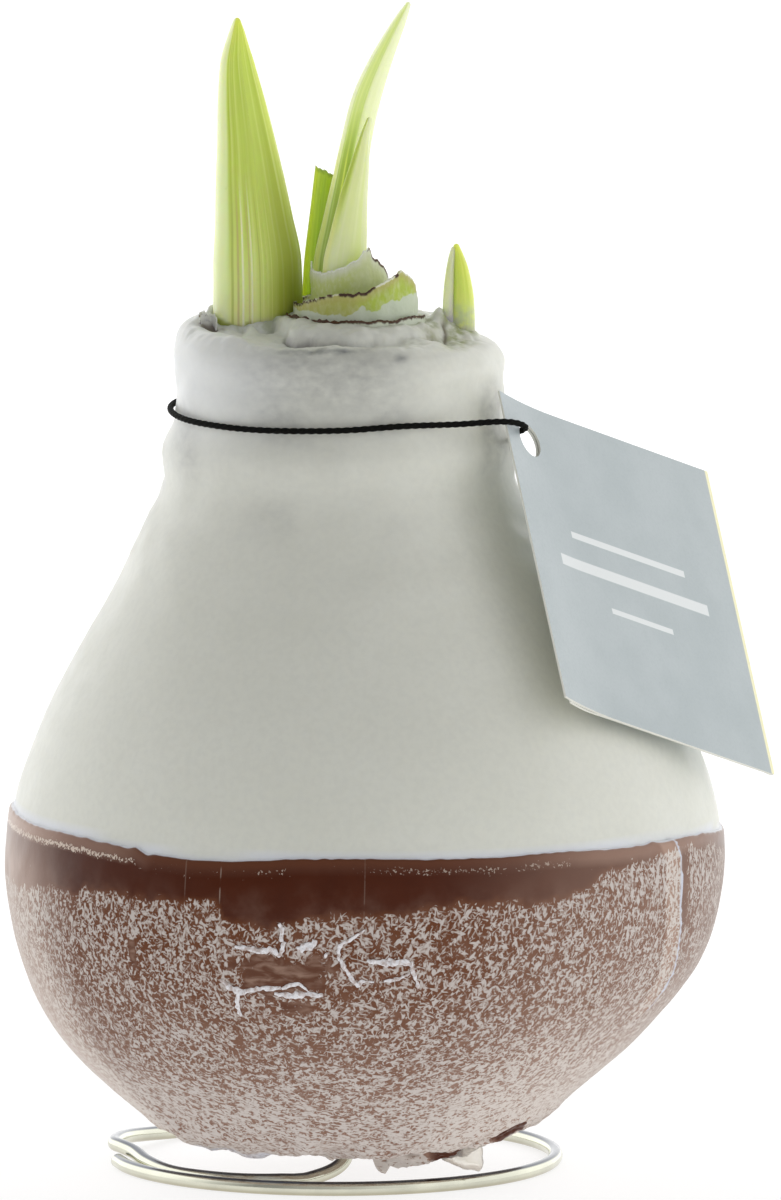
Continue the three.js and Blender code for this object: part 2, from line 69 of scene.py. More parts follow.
# Leaves and buds, from foot to tip: x, y, z, width, thickness, raised middle.
FLOWER_BUD = (20, [
    (-9.6, 1.5, 100.6, 11.2, 5.4, 0), (-9.6, 1.5, 107, 11.5, 5.7, 0), (-9.7, 1.5, 115, 11.3, 5.6, 0),
    (-10.1, 1.5, 120, 10, 5.2, 0), (-10.6, 1.5, 125.1, 8.8, 4.7, 0), (-11.1, 1.5, 130.1, 7.4, 4.1, 0),
    (-11.7, 1.5, 135.2, 6, 3.5, 0), (-12.2, 1.5, 140.2, 4.2, 2.7, 0), (-12.2, 1.5, 144, 1.8, 1.6, 0),
    (-12.2, 1.5, 145.6, 0.6, 0.6, 0),
])
LEAF_LONG = (0, [
    (0.6, 2.4, 100.6, 6, 1.3, 0.8), (0.6, 2.2, 107, 6.4, 1.3, 0.9), (0.6, 1.8, 114, 6.6, 1.2, 1),
    (1.2, 1.5, 120, 5.4, 1.1, 1), (1.9, 1.2, 125.5, 4.3, 1, 0.9), (2.7, 1, 130.3, 3.8, 1, 0.8),
    (3.9, 0.8, 135.4, 3.6, 0.9, 0.7), (5.8, 0.5, 140.4, 2.8, 0.9, 0.6), (8.1, 0.2, 145.3, 1.6, 0.8, 0.4),
    (9.3, 0, 147.7, 0.6, 0.6, 0),
])
LEAF_FRONT = (8, [
    (1.4, -1.4, 100.6, 4.6, 1.1, 0.8), (1.4, -1.7, 107, 5, 1.1, 0.9), (1.2, -2.1, 114.3, 5.5, 1.1, 0.9),
    (1.7, -2.4, 118.7, 4.7, 1, 0.8), (2.3, -2.5, 123.1, 3.6, 1, 0.7), (3.1, -2.5, 127.5, 2.4, 0.9, 0.5),
    (3.8, -2.4, 131.3, 1.2, 0.8, 0.2), (4.4, -2.2, 133.5, 0.6, 0.6, 0),
])
LEAF_CUT = (-165, [
    (-1.2, 5.4, 100.6, 5.6, 1.2, 0.8), (-1.3, 5.5, 107, 5.9, 1.2, 0.9), (-1.2, 5.3, 114, 5.6, 1.1, 0.9),
    (-0.8, 5, 120, 5, 1, 0.8), (-0.3, 4.7, 126.2, 4.4, 0.9, 0.7),
])
SIDE_SPEAR = (0, [
    (15.6, 1, 102.6, 3.4, 2.6, 0), (15.9, 1, 107, 3.2, 2.4, 0), (15.9, 1, 111, 2.8, 2.1, 0),
    (15.6, 1, 114.5, 1.9, 1.6, 0), (15.1, 1, 117.3, 0.6, 0.6, 0),
])
SIDE_SHEATH = (0, [
    (14.3, 0.4, 103, 1.6, 1.4, 0), (14.15, 0.4, 107.5, 1.5, 1.2, 0), (14.25, 0.4, 112, 1.3, 1, 0),
    (14.55, 0.7, 115.3, 0.9, 0.8, 0), (14.85, 1, 116.9, 0.6, 0.6, 0),
])
BLADE_SQUARENESS = 0.7

WIRE = 1.8
# The ring begins at its left and runs round once, rising over its own start. It winds inward through
# (degrees, radius, height) and then stands up into the spike.
RING = {"y": 9.5, "radius": 27.7, "start": 190, "rise_from": 490, "end": 540, "rise": 1.45}
WIRE_INNER = [
    (186, 26.8, 2.35), (192, 25.8, 2.1), (202, 25.4, 1.5), (216, 25.3, 1.05), (230, 24.9, 1),
    (242, 24.2, 1), (252, 22.6, 1), (261, 20.2, 1),
]
SPIKE = {"x": 1.2, "y": -7.8, "foot": 3, "top": 32}

CORD = 0.78
CORD_OFF_WAX = 0.3
# Round the neck through (degrees, height), and then through the tag's hole.
CORD_ROUND = [
    (-6, 93.2), (8, 94.2), (22, 95.2), (45, 95.8), (70, 96.3), (95, 96.5), (120, 96.7), (150, 96.8),
    (180, 96.7), (210, 96.4), (240, 96.2), (270, 96.4), (292, 96.8),
]
CORD_TO_TAG = [
    (15.4, -16.3, 96.7), (20.6, -14.1, 96.75), (22.3, -12.9, 96.5), (23.3, -11.8, 96.1),
    (23.75, -10.7, 95.6), (23.45, -9.7, 95.2), (22.6, -8.4, 94.6),
]
KNOT = {"angle": 97, "height": 96.5, "radius": 1.3, "loop": 0.36, "thick": 0.5}

# The tag hangs from the corner by its hole. Its leaves are fold_gap apart at the fold and open_gap at the
# other side, where the front leaf curls forward over curl_width.
TAG = {
    "side": 43, "card": 0.3, "fold_gap": 0.15, "open_gap": 0.3, "corner": (19.65, -9.95, 99.7),
    "turn": 58.4, "lean": 28.5, "roll": 21.1, "curl": 1.1, "curl_width": 12, "hole": 4.5, "hole_in": 5.3,
}

# ---------------------------------------------------------------- curves, noise and meshes


def smooth(value, low, high):
    t = np.clip((np.asarray(value, float) - low) / (high - low), 0, 1)
    return t * t * (3 - 2 * t)


def hill(value, width):
    return np.exp(-((np.asarray(value, float) / width) ** 2))


def table(value, pairs):
    """Straight lines between (position, value) pairs."""
    return np.interp(value, *zip(*pairs))


def spline(points, t, closed=False):
    """Centripetal Catmull-Rom curve through the points, at the parameters t from 0 to 1."""
    p = np.asarray(points, float)
    t = np.asarray(t, float)
    count = len(p)
    if closed:
        place = t * count
        first = np.floor(place).astype(int)
        p0, p1, p2, p3 = (p[(first + k) % count] for k in (-1, 0, 1, 2))
    else:
        place = t * (count - 1)
        first = np.minimum(np.floor(place).astype(int), count - 2)
        q = np.vstack([2 * p[0] - p[1], p, 2 * p[-1] - p[-2]])
        p0, p1, p2, p3 = (q[first + k] for k in range(4))
    w = (place - first)[:, None]

    def gap(a, b):
        return (((a - b) ** 2).sum(axis=1) ** 0.25)[:, None]

    d0, d1, d2 = gap(p0, p1), gap(p1, p2), gap(p2, p3)
    a = ((p1 - p0) / d0 - (p2 - p0) / (d0 + d1) + (p2 - p1) / d1) * d1
    b = ((p2 - p1) / d1 - (p3 - p1) / (d1 + d2) + (p3 - p2) / d2) * d1
    c2 = -3 * p1 + 3 * p2 - 2 * a - b
    c3 = 2 * p1 - 2 * p2 + a + b
    return p1 + a * w + c2 * w**2 + c3 * w**3


def xyz(x, y, z):
    """Points from three coordinates, each a number or an array."""
    return np.stack(np.broadcast_arrays(x, y, z), axis=-1)


def noise(p, size, seed):
    """Smooth noise from -1 to 1 at the points p, with features of about `size`."""
    q = np.asarray(p, float) / size
    cell = np.floor(q).astype(np.int64)
    f = q - cell
    f = f * f * (3 - 2 * f)
    total = 0
    for corner in range(8):
        step = np.array([corner & 1, corner >> 1 & 1, corner >> 2 & 1])
        i, j, k = np.moveaxis(cell + step, -1, 0)
        n = (i * 73856093) ^ (j * 19349663) ^ (k * 83492791) ^ (seed * 2654435)
        n = ((n ^ (n >> 13)) * 1274126177) & 0xFFFFFFFF
        n = n ^ (n >> 16)
        weight = np.prod(np.where(step, f, 1 - f), axis=-1)
        total = total + weight * ((n & 0xFFFF) / 32767.5 - 1)
    return total


def fractal(p, size, seed):
    return sum(noise(p, size / 2**k, seed + k) / 2**k for k in range(3))


def make(name, points, faces, slot, finish, values=None, uv=None, node=None):
    """A piece from points in the part's millimetres, riding on the body and standing for `node`."""
    mesh = bpy.data.meshes.new(name)
    mesh.from_pydata(((np.reshape(points, (-1, 3)) + SHIFT) * MM).tolist(), [], faces)
    mesh.polygons.foreach_set("use_smooth", np.ones(len(mesh.polygons), bool))
    for key, value in (values or {}).items():
        layer = mesh.attributes.new(key, "FLOAT", "POINT")
        layer.data.foreach_set("value", np.asarray(value, float).ravel())
    if uv is not None:
        corners = np.empty(len(mesh.loops), np.int32)
        mesh.loops.foreach_get("vertex_index", corners)
        layer = mesh.uv_layers.new(name="UVMap")
        layer.data.foreach_set("uv", np.asarray(uv, float)[corners].ravel())
    piece = bpy.data.objects.new(name, mesh)
    bpy.context.scene.collection.objects.link(piece)
    mesh.materials.append(finish)
    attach(piece, "root")
    if node:
        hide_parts(node)


def grid_faces(rows, columns, wrap=True, flip=False):
    """Faces of a grid of rows × columns points, its columns closed into a ring."""
    faces = []
    for r in range(0, (rows - 1) * columns, columns):
        for c in range(columns if wrap else columns - 1):
            d = (c + 1) % columns
            quad = (r + c, r + d, r + columns + d, r + columns + c)
            faces.append(quad[::-1] if flip else quad)
    return faces


def sweep(path, radius, sides, closed=False, ridge=None):
    """Points and faces of a tube along a path. `ridge(length, angle)` adds to its radius."""
    path = np.asarray(path, float)
    count = len(path)
    if closed:
        along = np.roll(path, -1, axis=0) - np.roll(path, 1, axis=0)
    else:
        along = np.gradient(path, axis=0)
    along /= np.linalg.norm(along, axis=1)[:, None]
    across = np.cross(along[0], (0.3, 0.2, 1))
    frames = []
    for tangent in along:
        across = across - tangent * across.dot(tangent)
        across /= np.linalg.norm(across)
        frames.append(across)
    frames = np.array(frames)
    if closed:
        second = np.cross(along[0], frames[0])
        last = frames[-1] - along[0] * frames[-1].dot(along[0])
        twist = math.atan2(last.dot(second), last.dot(frames[0]))
        turn = -twist * np.arange(count) / count
        other = np.cross(along, frames)
        frames = np.cos(turn)[:, None] * frames + np.sin(turn)[:, None] * other
    other = np.cross(along, frames)
    steps = np.linalg.norm(np.diff(path, axis=0), axis=1)
    length = np.concatenate([[0], np.cumsum(steps)])
    angle = np.arange(sides) * TAU / sides
    size = np.broadcast_to(np.asarray(radius, float), (count,))[:, None] * np.ones(sides)
    if ridge:
        size = size + ridge(length[:, None], angle[None, :])
    ring = np.cos(angle)[None, :, None] * frames[:, None] + np.sin(angle)[None, :, None] * other[:, None]
    points = (path[:, None] + size[..., None] * ring).reshape(-1, 3)
    faces = grid_faces(count, sides)
    if closed:
        top = (count - 1) * sides
        faces += [(top + k, top + (k + 1) % sides, (k + 1) % sides, k) for k in range(sides)]
    else:
        faces.append(tuple(reversed(range(sides))))
        faces.append(tuple((count - 1) * sides + k for k in range(sides)))
    return points, faces


def join(*parts):
    """Several (points, faces) as one."""
    points, faces = [], []
    for some, their_faces in parts:
        first = sum(len(p) for p in points)
        points.append(some)
        faces += [tuple(first + k for k in face) for face in their_faces]
    return np.vstack(points), faces


# ---------------------------------------------------------------- materials


class Finish:
    """A procedural material: a Principled shader, with short ways to feed its sockets."""

    def __init__(self, name, **constants):
        self.material = bpy.data.materials.new(name)
        self.material.use_nodes = True
        self.nodes = self.material.node_tree.nodes
        self.links = self.material.node_tree.links
        self.shader = self.nodes["Principled BSDF"]
        self.place = self.nodes.new("ShaderNodeTexCoord").outputs
        for key, value in constants.items():
            self.shader.inputs[key.replace("_", " ")].default_value = value

    def feed(self, socket, value):
        if isinstance(value, bpy.types.NodeSocket):
            self.links.new(value, socket)
        elif value is not None:
            socket.default_value = value

    def set(self, name, value):
        self.feed(self.shader.inputs[name], value)

    def node(self, kind, inputs, **settings):
        made = self.nodes.new(kind)
        for key, value in settings.items():
            setattr(made, key, value)
        for key, value in inputs.items():
            self.feed(made.inputs[key], value)
        return made

    def value(self, name):
        """A number stored at each point of the mesh."""
        return self.node("ShaderNodeAttribute", {}, attribute_name=name).outputs["Fac"]

    def at(self, scale, source="Object"):
        inputs = {"Vector": self.place[source], "Scale": scale}
        return self.node("ShaderNodeMapping", inputs).outputs["Vector"]

    def noise(self, size, detail=2, stretch=(1, 1, 1), warp=0, source="Object"):
        """Noise with features of about `size`, in millimetres or, from the UV map, in its own units."""
        unit = MM if source == "Object" else 1
        return self.noise_at(self.at(tuple(s / (size * unit) for s in stretch), source), detail, warp)

    def noise_at(self, place, detail, warp):
        inputs = {"Vector": place, "Scale": 1.0, "Detail": detail, "Distortion": warp}
        return self.node("ShaderNodeTexNoise", inputs).outputs["Fac"]

    def needles(self, degrees, wide, long):
        """Noise drawn out along a direction that leans by these degrees across the front."""
        turned = {"Vector": self.place["Object"], "Rotation": (0, math.radians(degrees), 0)}
        turned["Scale"] = (long * MM, wide * MM, wide * MM)
        place = self.node("ShaderNodeMapping", turned, vector_type="TEXTURE").outputs["Vector"]
        return self.noise_at(place, 0.5, 0.9)

    def cells(self, size):
        """Distance to the middles of cells of about `size` millimetres."""
        inputs = {"Vector": self.at((1 / (size * MM),) * 3), "Scale": 1.0}
        return self.node("ShaderNodeTexVoronoi", inputs).outputs["Distance"]

    def math(self, operation, a, b, clamp=False):
        return self.node("ShaderNodeMath", {0: a, 1: b}, operation=operation, use_clamp=clamp).outputs[0]

    def add(self, a, b, clamp=False):
        return self.math("ADD", a, b, clamp)

    def less(self, a, b, clamp=False):
        return self.math("SUBTRACT", a, b, clamp)

    def times(self, a, b, clamp=False):
        return self.math("MULTIPLY", a, b, clamp)

    def most(self, a, b):
        return self.math("MAXIMUM", a, b)

    def apart(self, a, b):
        """How far the one is from the other."""
        return self.math("ABSOLUTE", self.less(a, b), 0)

    def span(self, value, low, high, to_low=0.0, to_high=1.0):
        """Runs smoothly from one value to the other while the input goes from low to high."""
        inputs = {"Value": value, "From Min": low, "From Max": high, "To Min": to_low, "To Max": to_high}
        return self.node("ShaderNodeMapRange", inputs, interpolation_type="SMOOTHSTEP").outputs["Result"]

    def mix(self, share, a, b):
        """Runs from the first colour to the second: each a socket, or sRGB numbers up to 255."""
        made = self.node("ShaderNodeMix", {0: share}, data_type="RGBA")
        for index, colour in ((6, a), (7, b)):
            self.feed(made.inputs[index], linear(*colour) if isinstance(colour, tuple) else colour)
        return made.outputs[2]

    def bump(self, height, depth, strength=1.0, after=None):
        """A bump `depth` millimetres high where the input goes from 0 to 1."""
        inputs = {"Height": height, "Distance": depth * MM, "Strength": strength, "Normal": after}
        return self.node("ShaderNodeBump", inputs).outputs["Normal"]

    def done(self, colour, normal, roughness=None):
        """Feeds the shader, and gives the material."""
        self.set("Base Color", colour)
        self.set("Normal", normal)
        self.set("Roughness", roughness)
        return self.material


def linear(red, green, blue):
    """The shader's colour for sRGB numbers up to 255."""
    def one(c):
        c /= 255
        return c / 12.92 if c <= 0.04045 else ((c + 0.055) / 1.055) ** 2.4

    return (one(red), one(green), one(blue), 1)


def white_wax():
    """At each point of the mesh: `smudge_and_shade` smudges and painted shade, `thin` where green shows
    through, `painted_highlight` a painted bluish highlight, and `stain_and_shade` stains and painted
    shadow.
    """
    f = Finish("white_wax", Subsurface_Weight=0.35, Subsurface_Scale=0.004, Specular_IOR_Level=0.42)
    f.shader.inputs["Subsurface Radius"].default_value = (1.0, 0.9, 0.75)
    grain = f.noise(0.9, 3)
    colour = f.mix(f.noise(16, 4), (219, 220, 209), (229, 230, 221))
    colour = f.mix(f.span(grain, 0.3, 0.75, 0, 0.22), colour, (205, 206, 198))
    # smudges, and painted shade under the rim and in the fold, mixed in as grey
    smudge_and_shade = f.times(f.value("smudge_and_shade"), f.noise(1.6, 3, (1, 1, 1.6)))
    colour = f.mix(f.times(smudge_and_shade, 1.5, True), colour, (132, 134, 134))
    green = f.times(f.value("thin"), f.span(f.noise(1.3, 3), 0.3, 0.65))
    colour = f.mix(green, colour, (150, 158, 96))
    # painted highlight: bluish white just above the brown wax's edge, and painted cool light on the left of
    # the neck
    colour = f.mix(f.value("painted_highlight"), colour, (228, 231, 238))
    # stains, and painted shadow where the fold is browner at the left
    colour = f.mix(f.value("stain_and_shade"), colour, (84, 62, 36))
    dents = f.bump(f.noise(7, 2), 0.25, 0.5)
    return f.done(colour, f.bump(grain, 0.03, 0.5, dents), f.span(f.noise(3, 3), 0.3, 0.7, 0.36, 0.5))


def brown_wax():
    """Glossy brown wax with a pale bloom of short crooked flecks. At each point of the mesh: `down` is mm
    below the edge, `turn` degrees round the bulb, `bloom` how much is covered, `dotted` how strong the line
    of dots is, `upright` and `low` the way the flecks run, `worn` a rubbed patch, `crease` mm from a pale
    crease and `haze` painted sheen and light at the sides, low down and along the edge, with a thin veil."""
    f = Finish("brown_wax", Specular_IOR_Level=0.16, Sheen_Weight=0.3, Sheen_Roughness=0.35)
    f.shader.inputs["Sheen Tint"].default_value = (1.0, 0.93, 0.85, 1)
    down, turn, haze = f.value("down"), f.value("turn"), f.value("haze")
    upright = f.value("upright")
    standing = f.add(f.needles(82, 0.47, 1.0), f.times(upright, 0.08))
    lying = f.add(f.needles(14, 0.45, 1.05), f.times(f.value("low"), 0.11))
    slanting = f.less(f.needles(132, 0.47, 0.95), f.times(upright, 0.05))
    pattern = f.most(f.most(standing, lying), slanting)
    cover = f.add(f.value("bloom"), f.span(f.noise(5, 3), 0.3, 0.7, -0.06, 0.06))
    over = f.less(pattern, f.less(0.9, f.times(cover, 0.31)))
    fleck = f.span(over, -0.05, 0.06)
    # a dotted line below the edge, and fine upright lines
    from_line = f.apart(down, 1.7)
    dots = f.times(f.span(from_line, 0.65, 0.1, 0, 0.25), f.value("dotted"))
    dots = f.span(f.add(f.noise(0.34, 1, warp=0.6), dots), 0.72, 0.82)
    dots = f.times(dots, f.span(from_line, 1.0, 0.6))
    marks = f.times(dots, f.span(turn, 230, 236, 1, 0.55))
    broken = f.span(f.noise(1.5, 2), 0.35, 0.6, 0, 0.32)
    for degrees, share in ((240.9, 0.4), (247.0, 1.0), (270.4, 0.35)):
        marks = f.most(marks, f.times(f.span(f.apart(turn, degrees), 0.15, 0.04, 0, share), broken))

    brown = f.mix(f.noise(4, 4), (64, 22, 3), (80, 32, 8))
    brown = f.mix(f.span(down, 1.9, 0.2, 0, 0.4), brown, (112, 60, 28))
    brown = f.mix(f.times(f.value("bloom"), 0.55, True), brown, (122, 74, 44))
    veil = f.times(f.span(f.noise(3, 4), 0.35, 0.8, 0, 0.15), f.span(down, 2, 7))
    # painted sheen and light, with a thin veil, pale the brown
    brown = f.mix(f.add(haze, veil, True), brown, (172, 142, 126))
    streaks = f.span(f.noise(1.5, 4, (0.6, 0.6, 1.8), warp=0.6), 0.35, 0.7)
    brown = f.mix(f.value("worn"), brown, f.mix(streaks, (98, 60, 42), (148, 118, 102)))
    pale = f.mix(f.span(over, 0, 0.14), (168, 150, 140), (200, 191, 186))
    # the flecks are paler where the painted sheen lies
    pale = f.mix(f.span(haze, 0.2, 0.7), pale, (214, 205, 198))
    colour = f.mix(marks, f.mix(fleck, brown, pale), (206, 190, 176))
    crease = f.span(f.apart(f.value("crease"), 0), 0.55, 0.25, 0, 0.9)
    colour = f.mix(crease, colour, (216, 220, 234))
    # painted highlight: a bluish-white line along the top of the rounded edge
    colour = f.mix(f.span(down, 0.26, 0.1), colour, (222, 224, 232))
    roughness = f.node("ShaderNodeMix", {0: fleck, 2: 0.3, 3: 0.6}).outputs[0]
    return f.done(colour, f.bump(fleck, 0.05, 0.6, f.bump(f.noise(3.2, 3), 0.2, 0.35)), roughness)


def scratch_wax():
    """Wax scratched white: the raised edges of scuffs."""
    f = Finish("scratched_wax", Roughness=0.7)
    colour = f.mix(f.span(f.noise(0.6, 3), 0.3, 0.6), (188, 172, 166), (238, 237, 241))
    return f.done(colour, f.bump(f.noise(0.3, 3), 0.06, 0.6))


def clear_wax():
    """A thin drop of unpigmented wax."""
    f = Finish("clear_wax", Roughness=0.3, Transmission_Weight=0.75, IOR=1.3)
    colour = f.mix(f.noise(1.5, 3), (246, 240, 228), (253, 252, 248))
    return f.done(colour, f.bump(f.noise(1.2, 2), 0.1, 0.5))


def plant(name, tissue, stripe=0.5, film=None, edge=None, painted_shade=None, lines=(), through=(0.8, 1, 0.3)):
    """Leaf or bud tissue, a pale, a middle and a deep green, with veins along it. The mesh's values say
    where it is pale, at its edge, which is painted light on the flower bud, the tall leaf and the short
    leaf, in the colour of painted shade or under a film of wax. `lines` gives
    (place across, half width, colour, share). `through` is how far red, green and blue light go in."""
    pale, middle, deep = tissue
    f = Finish(name, Subsurface_Weight=0.75, Subsurface_Scale=0.005)
    f.shader.inputs["Subsurface Radius"].default_value = through
    veins = f.noise(0.022, 2, (1, 0.02, 1), source="UV")
    broad = f.noise(0.11, 3, (1, 0.12, 1), source="UV")
    colour = f.mix(f.span(broad, 0.3, 0.7), middle, deep)
    colour = f.mix(f.span(veins, 0.45, 0.7, 0, stripe), colour, pale)
    colour = f.mix(f.times(f.value("pale"), 0.9), colour, pale)
    # the edge colour is painted light on the flower bud, the tall leaf and the short leaf; on the others it
    # is the tissue's own
    if edge:
        colour = f.mix(f.value("edge"), colour, edge)
    # painted shade: a deeper colour where the piece lies in shadow
    if painted_shade:
        colour = f.mix(f.value("painted_shade"), colour, painted_shade)
    for place, half, tint, share in lines:
        near = f.span(f.apart(f.value("across"), place), half, half * 0.4, 0, share)
        colour = f.mix(f.times(near, f.value("lined")), colour, tint)
    colour = f.mix(f.span(f.noise(0.6, 3), 0.66, 0.8, 0, 0.25), colour, deep)
    if film:
        colour = f.mix(f.times(f.value("film"), f.span(f.noise(1.2, 4), 0.25, 0.6)), colour, film)
    return f.done(colour, f.bump(veins, 0.07, 0.55), f.span(broad, 0.2, 0.8, 0.3, 0.46))


def papery(name, low, high, rim, cells=0.9, waxed=(206, 214, 200)):
    """Bulb scale: fresh below, papery above, torn and brown along its rim. At each point of the mesh:
    `edge` is mm below the rim, and `fresh`, `waxed` and `burnt` are shares."""
    f = Finish(name, Roughness=0.55, Subsurface_Weight=0.25, Subsurface_Scale=0.0015)
    f.shader.inputs["Subsurface Radius"].default_value = (1.0, 1.0, 0.7)
    edge, burnt = f.value("edge"), f.value("burnt")
    tissue = f.noise(cells, 4, (1.2, 1.2, 0.7))
    colour = f.mix(f.value("fresh"), high, low)
    colour = f.mix(f.span(tissue, 0.4, 0.75, 0, 0.28), colour, (226, 228, 208))
    wax = f.add(f.value("waxed"), f.span(f.noise(1.6, 2), 0.2, 0.8, -0.35, 0.35))
    colour = f.mix(f.span(wax, 0.4, 0.62, 0, 0.85), colour, waxed)
    white_edge = f.times(f.span(edge, 0.28, 0.12), f.less(1.0, burnt, True))
    colour = f.mix(f.times(white_edge, 0.8), colour, (236, 238, 226))
    torn = f.less(edge, f.add(f.times(f.noise(0.7, 3), 0.5), f.times(burnt, 0.12)))
    dashes = f.span(f.add(burnt, f.noise(0.9, 2)), 0.9, 1.05)
    colour = f.mix(f.times(f.span(torn, 0.14, -0.14), dashes), colour, rim)
    return f.done(colour, f.bump(f.add(tissue, f.cells(0.5)), 0.08, 0.5))


def steel():
    """Galvanised wire, with painted reflection dark blue where it faces up and painted shade warm brown
    where it faces the floor.
    """
    f = Finish("galvanised_wire", Metallic=1.0)
    drawn = f.noise(0.4, 3)
    facing = f.node("ShaderNodeNewGeometry", {}).outputs["Normal"]
    above = f.node("ShaderNodeSeparateXYZ", {0: facing}).outputs["Z"]
    colour = f.mix(f.span(f.noise(5, 3), 0.2, 0.8), (226, 226, 208), (206, 206, 190))
    # painted shade: warm brown on the underside, which faces the floor
    colour = f.mix(f.span(above, -0.1, -0.8, 0, 0.5), colour, (150, 132, 96))
    # painted reflection: dark blue along the top, which faces the dim lid
    colour = f.mix(f.span(above, 0.62, 0.85, 0, 0.9), colour, (60, 66, 84))
    return f.done(colour, f.bump(drawn, 0.008, 0.3), f.span(drawn, 0.3, 0.7, 0.1, 0.18))


def elastic():
    f = Finish("black_elastic", Roughness=0.8, Specular_IOR_Level=0.12)
    thread = f.noise(0.16, 2)
    return f.done(f.mix(f.span(thread, 0.4, 0.8), (3, 3, 3), (26, 27, 19)), f.bump(thread, 0.06, 0.8))


def card():
    """Silver-grey printed card with three plain white rules in the middle, worn pale along its fold."""
    f = Finish("silver_card")
    fibre = f.noise(0.35, 4)
    colour = f.mix(f.span(f.noise(9, 3), 0.3, 0.7), (180, 190, 192), (188, 197, 199))
    colour = f.mix(f.span(fibre, 0.4, 0.8, 0, 0.12), colour, (150, 160, 164))
    split = f.node("ShaderNodeSeparateXYZ", {0: f.place["UV"]}).outputs
    u, v = split["X"], split["Y"]
    from_middle = f.apart(u, 0.5)
    rules = 0.0
    for level, half, thick in ((0.4, 0.26, 0.012), (0.5, 0.34, 0.02), (0.62, 0.14, 0.01)):
        row = f.span(f.apart(v, level), thick, thick * 0.8)
        rules = f.most(rules, f.times(row, f.span(from_middle, half + 0.002, half)))
    colour = f.mix(rules, colour, (232, 236, 236))
    worn = f.times(f.span(u, 0.978, 0.982), f.span(f.noise(0.8, 3), 0.2, 0.5, 0.8, 1))
    colour = f.mix(worn, colour, (254, 250, 206))
    return f.done(colour, f.bump(fibre, 0.015, 0.4), f.span(fibre, 0.3, 0.7, 0.34, 0.46))


def card_paper():
    f = Finish("white_card_paper", Roughness=0.85)
    fibre = f.noise(0.25, 4)
    return f.done(f.mix(fibre, (232, 232, 222), (247, 247, 240)), f.bump(fibre, 0.03, 0.6))


# ---------------------------------------------------------------- the waxed body

OUTLINE = spline([(r, lean, z) for z, r, lean in BODY_SECTIONS], np.linspace(0, 1, 4001))
OUTLINE_STEPS = np.linalg.norm(np.diff(OUTLINE[:, [0, 2]], axis=0), axis=1)
OUTLINE_LENGTH = np.concatenate([[0], np.cumsum(OUTLINE_STEPS)])
OUTLINE_ALONG = np.gradient(OUTLINE, OUTLINE_LENGTH, axis=0)


def length_at_height(height):
    """How far along the outline this height lies, below the crown."""
    top = np.argmax(OUTLINE[:, 2] > CROWN_HEIGHT - 0.01)
    return np.interp(height, OUTLINE[:top, 2], OUTLINE_LENGTH[:top])


def outline_at(length):
    """Radius, lean and height at a length along the outline, and the direction outward there."""
    radius, lean, height = (np.interp(length, OUTLINE_LENGTH, OUTLINE[:, k]) for k in range(3))
    out_r = np.interp(length, OUTLINE_LENGTH, OUTLINE_ALONG[:, 2])
    out_z = -np.interp(length, OUTLINE_LENGTH, OUTLINE_ALONG[:, 0])
    size = np.hypot(out_r, out_z)
    return radius, lean, height, out_r / size, out_z / size


def lump(angle, radius):
    """What makes the round body slightly uneven."""
    return 0.35 * np.sin(5 * angle + 1) * np.minimum(1, radius / 30)


def body_surface(length, angle, out=0.0):
    """Points of the white wax's outside, `out` beyond it. Length, angle and out share a shape."""
    radius, lean, height, out_r, out_z = outline_at(length)
    reach = np.maximum(radius + out * out_r, 0) + lump(angle, radius)
    reach = np.where(radius > 0.01, reach, 0)
    x = reach * np.cos(angle) + lean
    y = reach * np.sin(angle) * BODY_DEPTH
    z = height + out * out_z
    z = z - CROWN_TILT * x * smooth(z, 97, 106)
    return xyz(x, y, z)


def over_wax(degrees, height, out):
    """One point outside the white wax."""
    angle = math.radians(degrees)
    radius, lean, _, _, _ = outline_at(length_at_height(height))
    reach = radius + lump(angle, radius) + out
    return np.array([lean + reach * math.cos(angle), BODY_DEPTH * reach * math.sin(angle), height])


def dip_edge_height(angle):
    slope = DIP_EDGE["right"] * np.cos(angle) + DIP_EDGE["back"] * np.sin(angle)
    waves = sum(height * np.sin(count * angle + phase) for count, height, phase in DIP_WAVES)
    return DIP_EDGE["height"] + slope + waves


def from_oval(x, y, middle, half_width, half_depth, turn=0.0):
    """Distance outside an oval, about, and the direction round it in degrees."""
    c, s = math.cos(math.radians(turn)), math.sin(math.radians(turn))
    a = (x - middle[0]) * c + (y - middle[1]) * s
    b = -(x - middle[0]) * s + (y - middle[1]) * c
    size = np.maximum(np.hypot(a / half_width, b / half_depth), 1e-3)
    return np.hypot(a, b) * (1 - 1 / size), np.degrees(np.arctan2(b, a)) % 360


# Round the scales, how far the roll of wax reaches, and round the side bud, how high its collar stands.
ROLL_REACH = [
    (0, 2.6), (150, 2.2), (195, 1.1), (215, 1.3), (224, 3.4), (232, 4.1), (268, 4.2), (282, 3.0),
    (310, 2.2), (360, 2.6),
]
SIDE_COLLAR = [(0, -0.7), (90, 0.3), (180, 1.0), (230, 0.2), (270, -0.5), (320, -0.8), (360, -0.7)]
# The torn lip of wax before the flower bud: x and height.
BUD_LIP = [
    (-16, 108.6), (-15, 107.9), (-13.8, 107.3), (-12.4, 106.7), (-11.5, 106.3), (-11, 107), (-10.5, 107.3),
    (-10, 106.9), (-9.5, 106.1), (-8.6, 105.8), (-7.5, 106.1), (-6.9, 106.8), (-6.2, 107.2), (-5.2, 107.2),
    (-4.5, 106.6),
]


